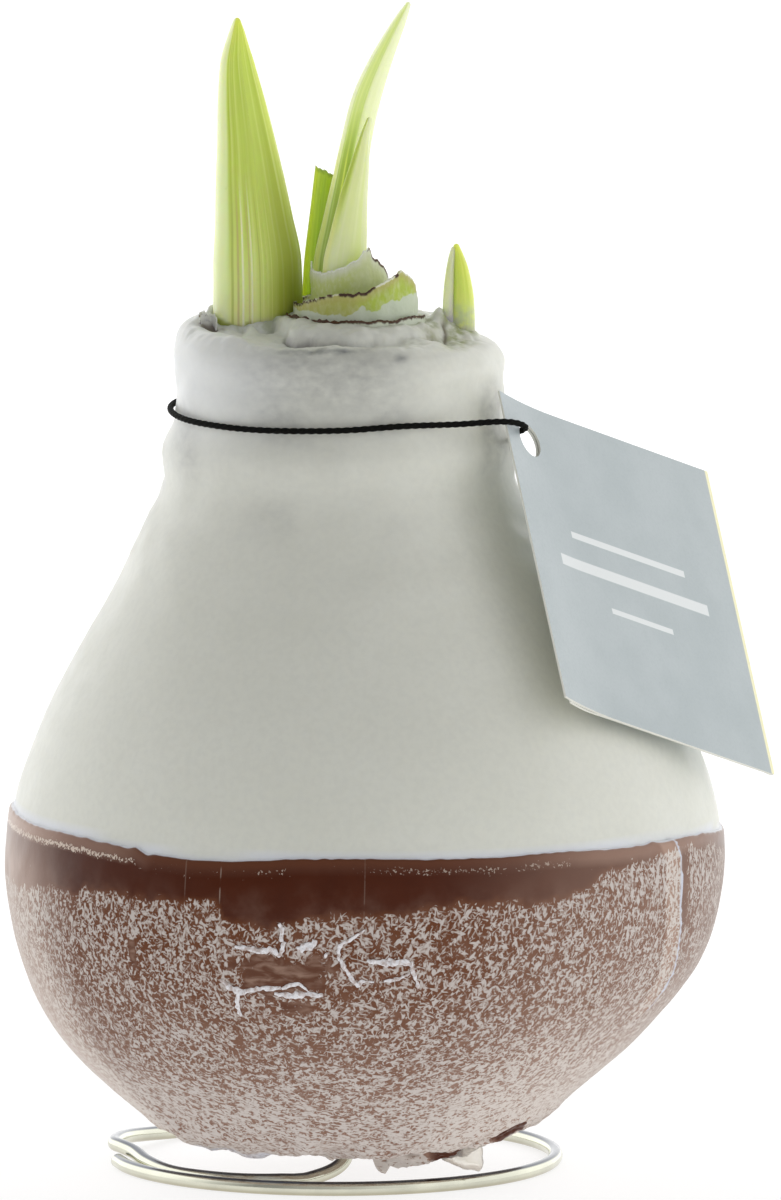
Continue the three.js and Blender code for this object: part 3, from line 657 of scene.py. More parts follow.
def crown(p):
    """At the points p: how far the melted wax of the crown rises, where it is thin, where it is stained or
    browned by painted shadow in the fold, and where painted shadow darkens the fold, with a dark spot in
    front."""
    x, y, z = p[..., 0], p[..., 1], p[..., 2]
    flat = xyz(x, y, 0.0)
    from_axis = np.hypot(x, y)
    thin, stain_and_shade = [], []
    # lumpy, and lower in front, at the left and before the side bud
    rise = 0.3 * fractal(flat, 5, 3) + 0.22 * fractal(flat, 1.8, 9)
    rise = rise - 1.4 * smooth(-y, 1.5, 5) * smooth(from_axis, 18.5, 14) - 0.7 * smooth(-y, 8, 15)
    rise = rise - 0.9 * smooth(x, -1.5, -5) * smooth(-y, 0.5, 3) * smooth(from_axis, 19, 15)
    rise = rise - 1.2 * smooth(x, 15, 18.5) * smooth(np.abs(y), 16, 10)

    # round the flower bud: a torn lip with a narrow gap between it and the bud
    off, _ = from_oval(x, y, (-9.6, 1.5), 5.75, 2.85, 20)
    before = smooth(y, 1.5, 0.2) * smooth(x, -17, -15.5) * smooth(x, -3.4, -4.6)
    level = CROWN_HEIGHT - CROWN_TILT * x
    lip = table(x + 0.15 * noise(flat, 0.7, 20), BUD_LIP) - level + 0.15 * noise(flat, 0.6, 21)
    steep = np.minimum(off - 0.9 - 0.2 * noise(flat, 1.3, 22), 0)
    ridge = hill(steep + 0.25 * np.maximum(off - 0.9, 0), 0.42)
    rise = rise + before * ridge * (lip - rise)
    rise = rise + (1 - before) * (1.0 + 0.4 * noise(flat, 1.1, 21)) * hill(off - 0.8, 0.75)
    rise = rise - 0.9 * hill(off - 0.1, 0.4)
    thin.append(0.85 * smooth(off, 1.0, 0.35))

    # a roll of wax under the scales, lumpy and undercut in front, with a fold before it
    off, way = from_oval(x, y, STUMP, 8.6, 8.6)
    reach = table(way, ROLL_REACH) + 0.4 * noise(flat * (1, 0.2, 0), 1.7, 34)
    top = 0.15 + 0.3 * noise(flat, 1.6, 33) + 0.12 * noise(flat, 0.7, 35)
    bulge = np.sqrt(np.clip(1 - (np.clip(off, 0, None) / reach) ** 2, 0, 1))
    rise = rise + bulge * (top - rise)
    thin.append(0.5 * hill(off - 0.1, 0.5))
    # painted shadow: the fold before the roll is darkened, and browner at the left
    fold = hill(off - reach - 0.25, 0.4) * smooth(way, 214, 226) * smooth(way, 292, 268)
    rise = rise - 0.35 * fold
    stain_and_shade.append(0.4 * fold * smooth(x, 3, 0))
    thin.append(0.75 * smooth(np.hypot(x - 11.2, y + 2.4), 2.3, 1.2))

    # a collar round the side bud, and the channel and pit before it
    off, way = from_oval(x, y, (15.5, 1), 2.1, 1.5)
    collar = table(way, SIDE_COLLAR) + 0.3 * noise(flat, 1.2, 41)
    rise = rise + hill(np.maximum(off, 0), 1.1) * (collar - rise)
    thin.append(0.95 * hill(off, 1.1))
    thin.append(0.6 * smooth(np.abs(x - 15.4), 2.2, 0.8) * smooth(y, -17.5, -12) * smooth(y, 0, -2))
    rise = rise - 1.1 * hill(x - 15.4, 2.2) * smooth(-y, 0, 2.5) * smooth(-y, 16, 10)
    thin.append(0.85 * hill(x - 15.3, 1.7) * smooth(-y, -0.5, 1) * smooth(-y, 9, 4))
    pit = hill(np.hypot((x - 12.3) / 1.2, (y + 6.8) / 2.4), 0.9)
    rise = rise - 0.5 * pit
    thin.append(0.9 * pit)
    stain_and_shade.append(0.4 * pit)

    # a waxed shred of scale beside it, and a crack
    off = np.hypot((x - 12.9) / 0.9, (y - 0.2) / 1.2)
    rise = rise + hill(off, 0.85) * (1.9 + 0.4 * noise(flat, 0.9, 45) - rise)
    thin.append(0.75 * hill(off, 1.0) * smooth(x, 12.4, 13.4))
    crack = hill(x - 13.7 - 0.25 * noise(flat, 1.5, 46), 0.3) * smooth(y, -11, -7) * smooth(y, 0, -2)
    rise = rise - 0.3 * crack
    stain_and_shade.append(0.75 * crack)

    # the small open scale at the left
    off = np.hypot((x + 15.8) / 1.3, (y + 2.7) / 1.0)
    rise = rise - 1.1 * hill(off, 0.9) + 0.6 * hill(np.hypot((x + 15.8) / 1.5, y + 0.6), 0.8)
    stain_and_shade.append(0.8 * smooth(off + 0.3 * noise(flat, 0.8, 47), 1.1, 0.6))
    stain_and_shade.append(0.6 * hill(np.hypot(x + 14.2, (y + 3) / 1.2), 0.55))

    # a darker spot on the front below the rim
    front_dark_spot = hill(np.hypot((x - 8.2) / 1.3, (z - 105.3) / 1.0), 0.8) * (y < -12)
    return rise, np.max(thin, axis=0), np.max(stain_and_shade, axis=0), np.maximum(fold, 0.9 * front_dark_spot)


def make_white_wax():
    columns = 420
    # rows of points along the outline, closer together toward the crown, up to the hole under the stump
    ends = [length_at_height(h) for h in (37, 94, 103.5)] + [OUTLINE_LENGTH[-1] - 4.2]
    lengths = np.concatenate([np.arange(*run) for run in zip(ends, ends[1:], (1.0, 0.5, 0.24))])
    angle = np.arange(columns) * TAU / columns
    length, angle = np.broadcast_arrays(lengths[:, None], angle[None, :])
    plain = body_surface(length, angle)
    height = plain[..., 2]
    rise, thin, stain_and_shade, dark = crown(plain)
    on_crown = smooth(height, 104.6, 107.2)
    # soft folds under the rim of the neck, and dents over the shoulder
    folds = 0.28 * noise(plain * (0.5, 0.5, 1), 2.4, 5) * hill(height - 101, 6)
    shoulder = 0.6 * fractal(plain * (0.6, 0.6, 1.2), 8, 6) * hill(height - 84, 11)
    soft = 0.14 * fractal(plain, 14, 7)
    out = folds + shoulder + soft * smooth(height, 40, 50) + rise * on_crown
    points = body_surface(length, angle, out)

    from_front = np.abs(np.degrees(angle) % 360 - 264)
    # smudges round the neck; painted shadow in a band under the rolled rim and a broader darkening over the
    # front below it; the fold's painted shadow and the dark spot from the crown
    under_rim = hill(height - 106.4 - 0.4 * noise(plain, 5, 10), 0.9)
    smudge_and_shade_marks = [
        0.5 * hill(height - 94, 8) * smooth(noise(plain, 7, 8), 0.1, 0.8),
        0.95 * under_rim * smooth(from_front, 27, 10),
        0.5 * hill(height - 103.5, 6) * smooth(from_front, 45, 15),
        dark * smooth(height, 102, 104),
    ]
    above = height - dip_edge_height(angle)
    left = smooth(np.cos(angle), -0.1, -0.9)
    values = {
        "smudge_and_shade": np.max(smudge_and_shade_marks, axis=0), "thin": thin * on_crown, "stain_and_shade": stain_and_shade * on_crown,
        # painted highlight: a bluish line just above the brown wax, and painted cool light on the neck's
        # left
        "painted_highlight": 0.8 * smooth(above, 0.75, 0.3) + 0.5 * hill(height - 102, 8) * left,
    }
    faces = grid_faces(len(lengths), columns)
    make("white_wax", points, faces, "white_wax", white_wax(), values, node="wax_coat")


# Where the bloom begins: (degrees, height).
BLOOM_TOP = [
    (0, 42), (60, 41), (120, 40.6), (195, 38.8), (206, 39.6), (215, 40), (226, 41), (231, 40.4),
    (246.4, 40.9), (248, 38.6), (257, 37.8), (261, 39.2), (276, 39.7), (285, 40.6), (298, 40.4),
    (303, 40.7), (307, 41.4), (310.5, 42.6), (313.5, 43.6), (323, 43.8), (330, 44.6), (345, 43.4),
    (360, 42),
]
# Two creases: (height, degrees).
CREASE = [
    (22, 334.6), (24, 335.2), (27, 335.6), (28.3, 336), (31, 335), (34, 333.8), (37, 332.3), (43, 332),
    (45.5, 330),
]
LOW_CREASE = [(17, 321.5), (19, 320.2), (22.5, 317), (25.3, 315.2), (28, 314), (31, 312.2)]
# Round the bulb: how strong the dotted line is, the painted reflection at the left, and the painted sheen
# along the wax's edge, strongest at the sides.
DOTTED = [
    (180, 0.9), (188, 1.2), (222, 1.2), (230, 0.9), (234, 0.1), (252, 0.1), (254, 0.5), (257, 0.5),
    (259, 0), (271, 0.1), (273, 0.6), (292, 0.8), (293, 0.1), (295, 0.1), (296, 0.8), (304, 0.8),
    (306, 0), (360, 0.2),
]
LEFT_REFLECTION = [(164, 0), (188, 0.5), (192, 0.56), (196, 0.42), (203, 0.38), (216, 0)]
EDGE_SHEEN = [
    (0, 0.2), (150, 0.2), (195, 0.55), (226, 0.42), (235, 0.06), (295, 0.06), (310, 0.3), (340, 0.35),
    (360, 0.2),
]
# Scuffs: raised edges of scratched wax through (degrees, height), and their radius.
SCUFFS = [
    (0.3, [
        (249.6, 34.7), (252, 34.5), (254, 34.2), (255.8, 34.4), (257, 33.8), (257.5, 34.8), (257.9, 35.5),
    ]),
    (0.28, [(256.9, 37.8), (257.3, 36.8), (257.3, 35.6)]),
    (0.42, [(259.8, 34.6), (261, 34.9), (262.3, 35.2), (262.6, 35.8)]),
    (0.22, [(270.6, 37.2), (268.5, 36), (266.8, 35.1), (266.5, 34.2), (266.6, 33.2)]),
    (0.4, [(264.3, 34), (264.8, 33.9)]),
    (0.24, [(266.8, 33.4), (268.5, 31.1), (269.8, 30.1), (270.6, 30.6), (272.4, 30.5)]),
    (0.34, [(271.2, 33.4), (274.2, 33), (276.5, 33.2), (278.2, 32.6)]),
    (0.26, [(278, 33), (278.8, 31.3), (279.8, 29.7)]),
    (0.34, [(246.8, 30.2), (248.5, 29.6), (250, 28.9), (252, 29.1), (253.8, 29.4), (257, 29.4)]),
    (0.22, [(249.8, 28.8), (249.5, 27), (250.1, 25.7)]),
    (0.34, [(256, 28.8), (258.8, 28.6), (262, 28.9), (264.2, 28.7)]),
    (0.2, [(257.2, 29.4), (259, 30), (260.6, 29.9), (261.8, 29)]),
    (0.2, [(274, 30.6), (276.5, 31), (278, 31.6)]),
]
# A torn roll of wax round the foot's right front, and drops that hang from the foot: x, y, middle, radius
# and length.
FOOT_ROLL = [
    (6.6, -14.4, 4.4), (10, -14.8, 4.7), (13.2, -14.5, 5.3), (16, -14, 6), (18.8, -13, 7), (22.4, -11, 8.3),
    (24.4, -8.4, 10.2),
]
DRIPS = [(5.9, -14.3, 4.7, 1.2, 2.6), (-0.6, -11.5, 4.6, 0.9, 1.2)]


def drop(x, y, middle, radius, length, seed, bend=0.3, flat=1.0):
    """A hanging drop, its thin tip bent to the right, and flattened from front to back."""
    columns, rows = 40, 30
    t = np.linspace(0, math.pi, rows)[:, None]
    turn = np.arange(columns) * TAU / columns
    low = np.clip(-np.cos(t), 0, 1)
    reach = radius * np.sin(t) ** (1 + 0.8 * low)
    z = middle + np.cos(t) * np.where(np.cos(t) > 0, radius, length)
    points = xyz(x + reach * np.cos(turn) + bend * low**2, y + flat * reach * np.sin(turn), z)
    points += 0.12 * noise(points, 0.9, seed)[..., None]
    return points.reshape(-1, 3), grid_faces(rows, columns, flip=True)


def rubbed_wax(plain, turn):
    """Where the bloom is rubbed off: a ragged patch, a spot below it and a stroke to its left."""
    height = plain[..., 2]
    jagged = fractal(plain, 1.3, 33)
    aside = np.abs(turn - 257.8 + 3.2 * noise(plain, 2.2, 23) + 2.2 * jagged)
    above = np.abs(height - 31.5 + 1.0 * noise(plain, 3, 24) + 0.9 * jagged)
    spot = smooth(np.abs(turn - 259.6), 3.4, 2) * smooth(np.abs(height - 27.2), 1, 0.5)
    stroke = smooth(np.abs(turn - 230.7), 0.8, 0.3) * smooth(np.abs(height - 32.9), 2, 1.2)
    return np.max([smooth(aside, 9.6, 7.4) * smooth(above, 2.7, 1.7), 0.8 * spot, 0.9 * stroke], axis=0)


def dip_values(plain, turn, down, crease, fades):
    """What the brown wax's material reads, at points that lie `crease` mm right of the long crease."""
    height = plain[..., 2]
    rubbed = rubbed_wax(plain, turn)
    low = smooth(height, 22, 10)
    ragged = 0.5 * noise(plain, 2.2, 16) + 0.45 * noise(plain, 0.9, 18)
    bloom = smooth(table(turn, BLOOM_TOP) - height + ragged, -0.3, 0.9)
    bare = smooth(crease, 0.2, 0.6) * smooth(crease, 4 * smooth(height, 28, 38) + 0.3, 0) * fades
    bloom = bloom * (1 - 0.9 * bare) * (1 - 0.68 * rubbed) * (1 + 0.05 * low)
    # painted light low down and painted reflection at both sides and along the edge of the wax; a veil
    # beside the crease
    left = smooth(turn, 222, 200) * smooth(turn, 150, 186)
    haze = (0.36 * smooth(height, 36, 12) + 0.3 * left) * smooth(down, 2, 7)
    haze = np.maximum(haze, 1.1 * smooth(crease, -4, -2) * (crease < 0) * fades)
    # painted reflection in a strip at the left, and painted sheen along the edge
    haze = haze + table(turn, LEFT_REFLECTION) + smooth(down, 2.1, 1.5) * table(turn, EDGE_SHEEN)
    # painted reflection on the right side
    haze = haze + 0.3 * smooth(turn, 280, 312) * smooth(turn, 360, 330)
    # the pale rim of the foot is drawn as a crease
    rim = 0.34 + 0.5 * np.abs(height - 5.9 - 0.5 * noise(plain, 3, 35))
    rim = rim + 9 * smooth(np.abs(turn - 228), 24, 34)
    sides = np.maximum(smooth(turn, 218, 204) * smooth(turn, 100, 190), smooth(turn, 309, 316))
    return {
        "down": down, "turn": turn, "bloom": bloom, "low": low, "worn": rubbed, "haze": haze,
        "upright": sides * smooth(height, 33, 38), "dotted": table(turn, DOTTED),
        "crease": np.where(fades > 0.1, crease / np.maximum(fades, 0.1), rim),
    }


def make_brown_wax():
    # columns of points round the bulb, closer together in front
    degrees = np.concatenate([np.linspace(186, 354, 400), np.linspace(354, 546, 142)[1:-1]])
    angle = np.radians(degrees)
    turn = degrees % 360
    nubs = 0.35 * hill(turn - 231, 0.9) - 0.25 * hill(turn - 233.4, 0.9) + 0.3 * hill(turn - 324.5, 1.2)
    nubs = nubs + 0.1 * noise(xyz(turn, turn, turn), 2.5, 19)
    edge = length_at_height(dip_edge_height(angle) + nubs)
    rows = [edge - b for b in np.linspace(0, 1.2, 9)]
    rows += [(edge - 1.2) * (1 - f) for f in np.linspace(0, 1, 124)[1:]]
    length = np.array(rows)
    angle, turn = (np.broadcast_to(a, length.shape) for a in (angle, turn))
    down = edge - length
    round_over = np.sqrt(np.clip(1 - (1 - np.clip(down / 0.6, 0, 1)) ** 2, 0, 1))
    out = -0.15 + (DIP_OUT + 0.15) * round_over
    plain = body_surface(length, angle)
    height = plain[..., 2]
    foot = smooth(height, 14, 7)
    out = out + 0.22 * fractal(plain, 11, 12) * smooth(down, 0.8, 4)
    out = out + foot * (0.5 * fractal(plain, 5, 13) + 0.25 * fractal(plain, 1.7, 14))

    width = np.hypot(plain[..., 0], plain[..., 1]) * math.radians(1)
    crease = (turn - table(height, CREASE)) * width
    fades = smooth(height, 20, 27)
    low_crease = (turn - table(height, LOW_CREASE)) * width
    out = out + 0.9 * hill(turn - 224, 15) * hill(height - 7.6, 2)
    out = out + 0.3 * fades * (hill(crease, 0.5) + smooth(-crease, 5, 0) * (crease < 0))
    out = out + 0.25 * hill(low_crease, 0.35) * smooth(height, 17, 20) * smooth(height, 31.5, 29)
    points = body_surface(length, angle, out)
    skin = (points.reshape(-1, 3), grid_faces(len(rows), len(degrees), flip=True))

    def torn(length, angle):
        place = xyz(length, 3 * np.cos(angle), 3 * np.sin(angle))
        return 0.35 * noise(place, 1.6, 25) + 0.2 * noise(place, 0.6, 26)

    roll = sweep(spline(FOOT_ROLL, np.linspace(0, 1, 160)), 1.25, 40, False, torn)
    drops = [drop(*d, 27 + k) for k, d in enumerate(DRIPS)]
    # the roll and the drops are in full bloom, but for dark patches on the roll
    dark = smooth(noise(roll[0] * (0.6, 0.6, 1), 1.7, 29), -0.6, -0.2) * smooth(roll[0][:, 0], 10, 13)
    cover = np.concatenate([1 - dark, np.ones(sum(len(p) for p, _ in drops))])
    at_foot = {"down": 30, "turn": 300, "low": 1, "crease": 9, "bloom": 1.15 * cover, "haze": 0.7 * cover}
    values = dip_values(plain, turn, down, crease, fades)
    values = {k: np.concatenate([v.ravel(), at_foot.get(k, 0) + 0 * cover]) for k, v in values.items()}
    make("brown_wax", *join(skin, roll, *drops), "brown_wax", brown_wax(), values, node="wax_dip")


def make_scuffs():
    """Ragged threads of scratched wax, pressed flat on the brown wax, and a clear drop at the foot."""
    sides = 14
    scuffs = []
    for k, (radius, marks) in enumerate(SCUFFS):
        count = 22 * len(marks)
        line = spline([over_wax(a, h, DIP_OUT) for a, h in marks], np.linspace(0, 1, count))
        away = line * (1, 1, 0) / np.hypot(line[:, 0], line[:, 1])[:, None]
        line = line + away * (0.12 + 0.22 * fractal(line, 11, 12))[:, None]
        line = line + 0.1 * noise(line + k, 0.8, 31)[:, None]
        taper = 1.15 * radius * (0.45 + 0.55 * np.sin(np.linspace(0.15, math.pi - 0.15, count)))
        tube, faces = sweep(line, taper * (1 + 0.35 * noise(line, 1.1, 32)), sides)
        tube = tube.reshape(count, sides, 3)
        off = tube - line[:, None]
        tube = tube - 0.55 * (off * away[:, None]).sum(-1, keepdims=True) * away[:, None]
        tube = tube + 0.6 * noise(tube, 0.4, 34)[..., None] * off
        scuffs.append((tube.reshape(-1, 3), faces))
    make("scuffs", *join(*scuffs), "brown_wax", scratch_wax())
    make("clear_drop", *drop(15.9, -14.3, 4.6, 2.6, 2.2, 41, 2.0, 0.3), "white_wax", clear_wax())


# ---------------------------------------------------------------- leaves, buds and scales


def blade(growth, columns=96, rows=150, ribs=0.0, seed=0, keel=2.0, cut=False):
    """Points, faces, UV and place across a leaf or bud, from -1 at its left edge to 1. Its tip is round, or
    square and open where it is cut."""
    facing, stations = growth
    stations = np.array(stations, float)
    step = np.linspace(0, 1, rows)
    middle = spline(stations[:, :3], step)
    size = spline(stations[:, 3:], step)
    along = np.gradient(middle, axis=0)
    along /= np.linalg.norm(along, axis=1)[:, None]
    turn = math.radians(facing)
    side = np.cross((math.sin(turn), -math.cos(turn), 0), along)
    side /= np.linalg.norm(side, axis=1)[:, None]
    out = np.cross(along, side)
    angle = np.arange(columns) * TAU / columns
    across = np.sin(angle)[None]
    deep = (np.sign(np.cos(angle)) * np.abs(np.cos(angle)) ** BLADE_SQUARENESS)[None]
    from_tip = np.linalg.norm(middle[-1] - middle, axis=1) / (size[-1, 0] / 2)
    close = np.sqrt(np.clip(1 - np.clip(1 - from_tip, 0, 1) ** 2, 0, 1))[:, None]
    if cut:
        close = np.ones_like(close)
    rib = ribs * fractal(xyz(across * 8, deep * 3, step[:, None]), 0.8, seed)
    depth = deep * (size[:, 1:2] / 2 + rib) * close + size[:, 2:3] * (1 - np.abs(across) ** keel)
    points = middle[:, None] + side[:, None] * (across * size[:, :1] / 2 * close)[..., None]
    points = points + out[:, None] * depth[..., None]
    faces = grid_faces(rows, columns)
    faces.append(tuple(reversed(range(columns))))
    u, v = np.broadcast_arrays((angle / TAU)[None], step[:, None])
    uv = np.stack([u, v], axis=-1).reshape(-1, 2)
    return points, faces, uv, np.broadcast_to(-across, (rows, columns))


def make_flower_bud():
    points, faces, uv, across = blade(FLOWER_BUD, 128, 170, 0.05, 51)
    x, height = points[..., 0], points[..., 2]
    foot = smooth(height, 122, 108)
    # painted shade: the right side, which faces the leaves, and the foot just above the lip
    right = smooth(across, 0.05, 0.75) * smooth(height, 136, 110)
    above_lip = height - table(x, BUD_LIP)
    values = {
        # painted light: the paler left edge stands for light shining through from behind
        "pale": 0.8 * foot * smooth(across, 0.35, -0.45), "edge": smooth(across, -0.74, -0.86),
        "across": across, "lined": smooth(height, 128, 118),
        "film": 0.7 * smooth(height, 108.6, 107.4) * smooth(x, -11, -7),
        "painted_shade": np.maximum(0.85 * right, 0.9 * smooth(above_lip, 0.9, 0.3) * smooth(x, -8, -11)),
    }
    white, pink = (244, 244, 220), (206, 186, 140)
    finish = plant(
        "bud_tissue", [(240, 244, 176), (215, 226, 112), (192, 204, 78)],
        film=(206, 208, 184), edge=(234, 244, 190), painted_shade=(150, 160, 44),
        lines=(
            (-0.72, 0.035, (186, 198, 100), 0.7), (-0.6, 0.03, pink, 0.6), (-0.5, 0.03, white, 0.8),
            (-0.36, 0.025, pink, 0.45), (-0.3, 0.03, white, 0.6), (-0.12, 0.02, (180, 190, 84), 0.5),
            (-0.04, 0.02, (232, 236, 160), 0.5), (0.16, 0.02, (224, 228, 140), 0.5),
        ),
    )
    make("bud", points, faces, "bud_tissue", finish, values, uv, "flower_bud")


def make_leaf_long():
    points, faces, uv, across = blade(LEAF_LONG, 96, 170, 0.03, 61, 1.15)
    height = points[..., 2]
    # painted shade: the left part, in the short leaf's shadow
    left_half = smooth(across, -0.8, -0.6) * smooth(across, -0.02, -0.2)
    values = {
        # painted light: the right half of the folded leaf is lighter
        "pale": smooth(height, 117, 127) * smooth(across, -0.6, -0.9), "edge": smooth(across, -0.04, 0.12),
        "across": across, "lined": 0.25 + 0.75 * smooth(height, 132, 126),
        "painted_shade": 0.8 * smooth(height, 136, 127) * left_half,
    }
    finish = plant(
        "leaf_tissue", [(226, 238, 202), (204, 222, 164), (188, 212, 132)], 0.35,
        edge=(226, 241, 190), painted_shade=(132, 152, 36), through=(0.9, 1.0, 0.5),
        lines=(
            (-0.74, 0.05, (132, 154, 50), 0.6), (0.02, 0.07, (248, 253, 214), 0.95),
            (-0.4, 0.07, (222, 232, 130), 0.6), (0.95, 0.2, (208, 230, 130), 0.7),
            (-0.95, 0.18, (218, 230, 124), 0.7),
        ),
    )
    make("tall_leaf", points, faces, "leaf_tissue", finish, values, uv, "leaf_long")


def make_leaf_front():
    points, faces, uv, across = blade(LEAF_FRONT, 96, 140, 0.03, 71)
    height = points[..., 2]
    values = {
        "pale": 0.15 * smooth(height, 124, 112),
        # painted highlight along the left edge
        "edge": np.maximum(smooth(across, -0.74, -0.88), 0.6 * smooth(across, 0.8, 0.95)),
        # painted shadow up the left side, in the gap beside the edge
        "painted_shade": smooth(height, 116, 126) * smooth(across, -0.45, -0.85),
    }
    finish = plant(
        "pale_leaf_tissue", [(240, 250, 212), (236, 252, 192), (224, 245, 162)], 0.3,
        edge=(240, 247, 158), painted_shade=(140, 158, 60), through=(0.9, 1.0, 0.4),
    )
    make("short_leaf", points, faces, "pale_leaf_tissue", finish, values, uv, "leaf_front")


def make_leaf_cut():
    columns, rows = 96, 120
    points, faces, uv, across = blade(LEAF_CUT, columns, rows, 0.03, 81, cut=True)
    height = points[..., 2].copy()
    # torn off: as the blade faces away, its top drops toward the right
    tear = noise(xyz(across * 3, 0, 0), 0.5, 82)
    points[..., 2] += smooth(height, 121, 126.2) * (0.2 * tear - 0.75 + 1.15 * across)
    # the torn end is a strip between the two faces, with a triangle at each edge of the blade
    last, half, edge = (rows - 1) * columns, columns // 2, columns // 4
    strip = [(edge, edge + 1, edge - 1), (3 * edge - 1, 3 * edge, 3 * edge + 1)]
    strip += [(k, k + 1, half - k - 1, half - k) for k in range(edge + 1, 3 * edge - 1)]
    faces += [tuple(last + k % columns for k in face) for face in strip]
    values = {"pale": 0.25 * smooth(across, -0.2, 0.8), "edge": smooth(height, 125.6, 126.2)}
    finish = plant(
        "dark_leaf_tissue", [(168, 180, 88), (146, 156, 52), (120, 136, 36)], 0.3, edge=(104, 116, 50),
    )
    make("torn_leaf", points, faces, "dark_leaf_tissue", finish, values, uv, "leaf_cut")


def make_side_bud():
    spear = plant(
        "side_bud_tissue", [(232, 239, 168), (218, 227, 124), (200, 214, 92)], 0.3,
        film=(200, 206, 168), edge=(170, 190, 50),
    )
    sheath = plant(
        "sheath_tissue", [(246, 250, 228), (238, 245, 204), (222, 232, 172)], 0.4,
        film=(206, 212, 184), edge=(196, 206, 130),
    )
    for name, growth, seed, finish, edge, node in (
        ("side_bud", SIDE_SPEAR, 91, spear, (-0.6, -0.9), "side_bud"),
        ("side_bud_sheath", SIDE_SHEATH, 95, sheath, (0.5, 0.9), None),
    ):
        points, faces, uv, across = blade(growth, 72, 90, 0.02, seed)
        height = points[..., 2]
        values = {
            "pale": 0.5 * smooth(height, 114, 107), "edge": smooth(across, *edge),
            "film": smooth(height, 110.6, 108.6),
        }
        make(name, points, faces, "leaf_tissue", finish, values, uv, node)


def scale_ring(name, middle, radius, wall, foot, finish, seed, rim, fresh, waxed, burnt, node=None):
    """A standing shell of bulb scale between the rim's first and last degrees. rim, fresh, waxed and burnt
    are tables over degrees, or one number."""
    columns = 300
    degrees = np.linspace(rim[0][0], rim[-1][0], columns)
    angle = np.radians(degrees)
    line = xyz(degrees / 5, 0, 0)
    top = table(degrees, rim) + 0.16 * fractal(line, 1.6, seed) + 0.1 * noise(line, 0.35, seed + 5)
    level = np.concatenate([np.linspace(0, 0.9, 14), np.linspace(0.9, 1, 14)[1:]])
    height = foot + level[:, None] * (top - foot)
    below = top[None] - height
    outer = radius + 0.12 * fractal(xyz(angle * radius, height, 0), 1.8, seed + 9)
    inner = outer - wall * (0.35 + 0.65 * smooth(below, 0, 3))

    def ring(reach):
        return xyz(middle[0] + reach * np.cos(angle), middle[1] + reach * np.sin(angle), height)

    # up the outside, over the rim, down the inside and back along the foot, and then both ends
    points = np.concatenate([ring(outer), ring(inner)[::-1]])
    rows = len(points)
    faces = grid_faces(rows, columns, wrap=False)
    last = (rows - 1) * columns
    faces += [(c, last + c, last + c + 1, c + 1) for c in range(columns - 1)]
    for c, flip in ((0, False), (columns - 1, True)):
        for r in range(rows // 2 - 1):
            mate = rows - 1 - r
            quad = tuple(row * columns + c for row in (r, r + 1, mate - 1, mate))
            faces.append(quad[::-1] if flip else quad)
    below = np.concatenate([below, below[::-1]])
    height = np.concatenate([height, height[::-1]])

    def over(pairs):
        row = table(degrees, pairs) if isinstance(pairs, list) else np.full(columns, float(pairs))
        return np.broadcast_to(row[None], below.shape)

    values = {
        "edge": below, "fresh": over(fresh) * smooth(below, 0.2, 1.6),
        "waxed": smooth(height - over(waxed), 0.5, -0.5), "burnt": over(burnt),
    }
    make(name, points, faces, "bulb_tissue", finish, values, node=node)


def make_stump(finish):
    """The cut face of the bulb inside the scales, in rings."""
    columns, rows = 180, 36
    reach = np.linspace(0, 7.3, rows)[:, None]
    angle = np.arange(columns) * TAU / columns
    x = STUMP[0] + reach * np.cos(angle)
    y = STUMP[1] + reach * np.sin(angle)
    flat = xyz(x, y, 0)
    rings = np.abs(np.sin((reach + 0.4 * noise(flat, 3, 131)) * math.pi / 1.5))
    z = np.where(reach > 7.2, 104, 108.9 + 0.45 * rings + 0.3 * fractal(flat, 1.5, 132))
    points = xyz(x, y, z)
    values = {"edge": 0.9 - 0.62 * rings, "fresh": 0.4 + 0 * x, "waxed": 0 * x, "burnt": 0.55 + 0 * x}
    make("stump", points, grid_faces(rows, columns), "bulb_tissue", finish, values)


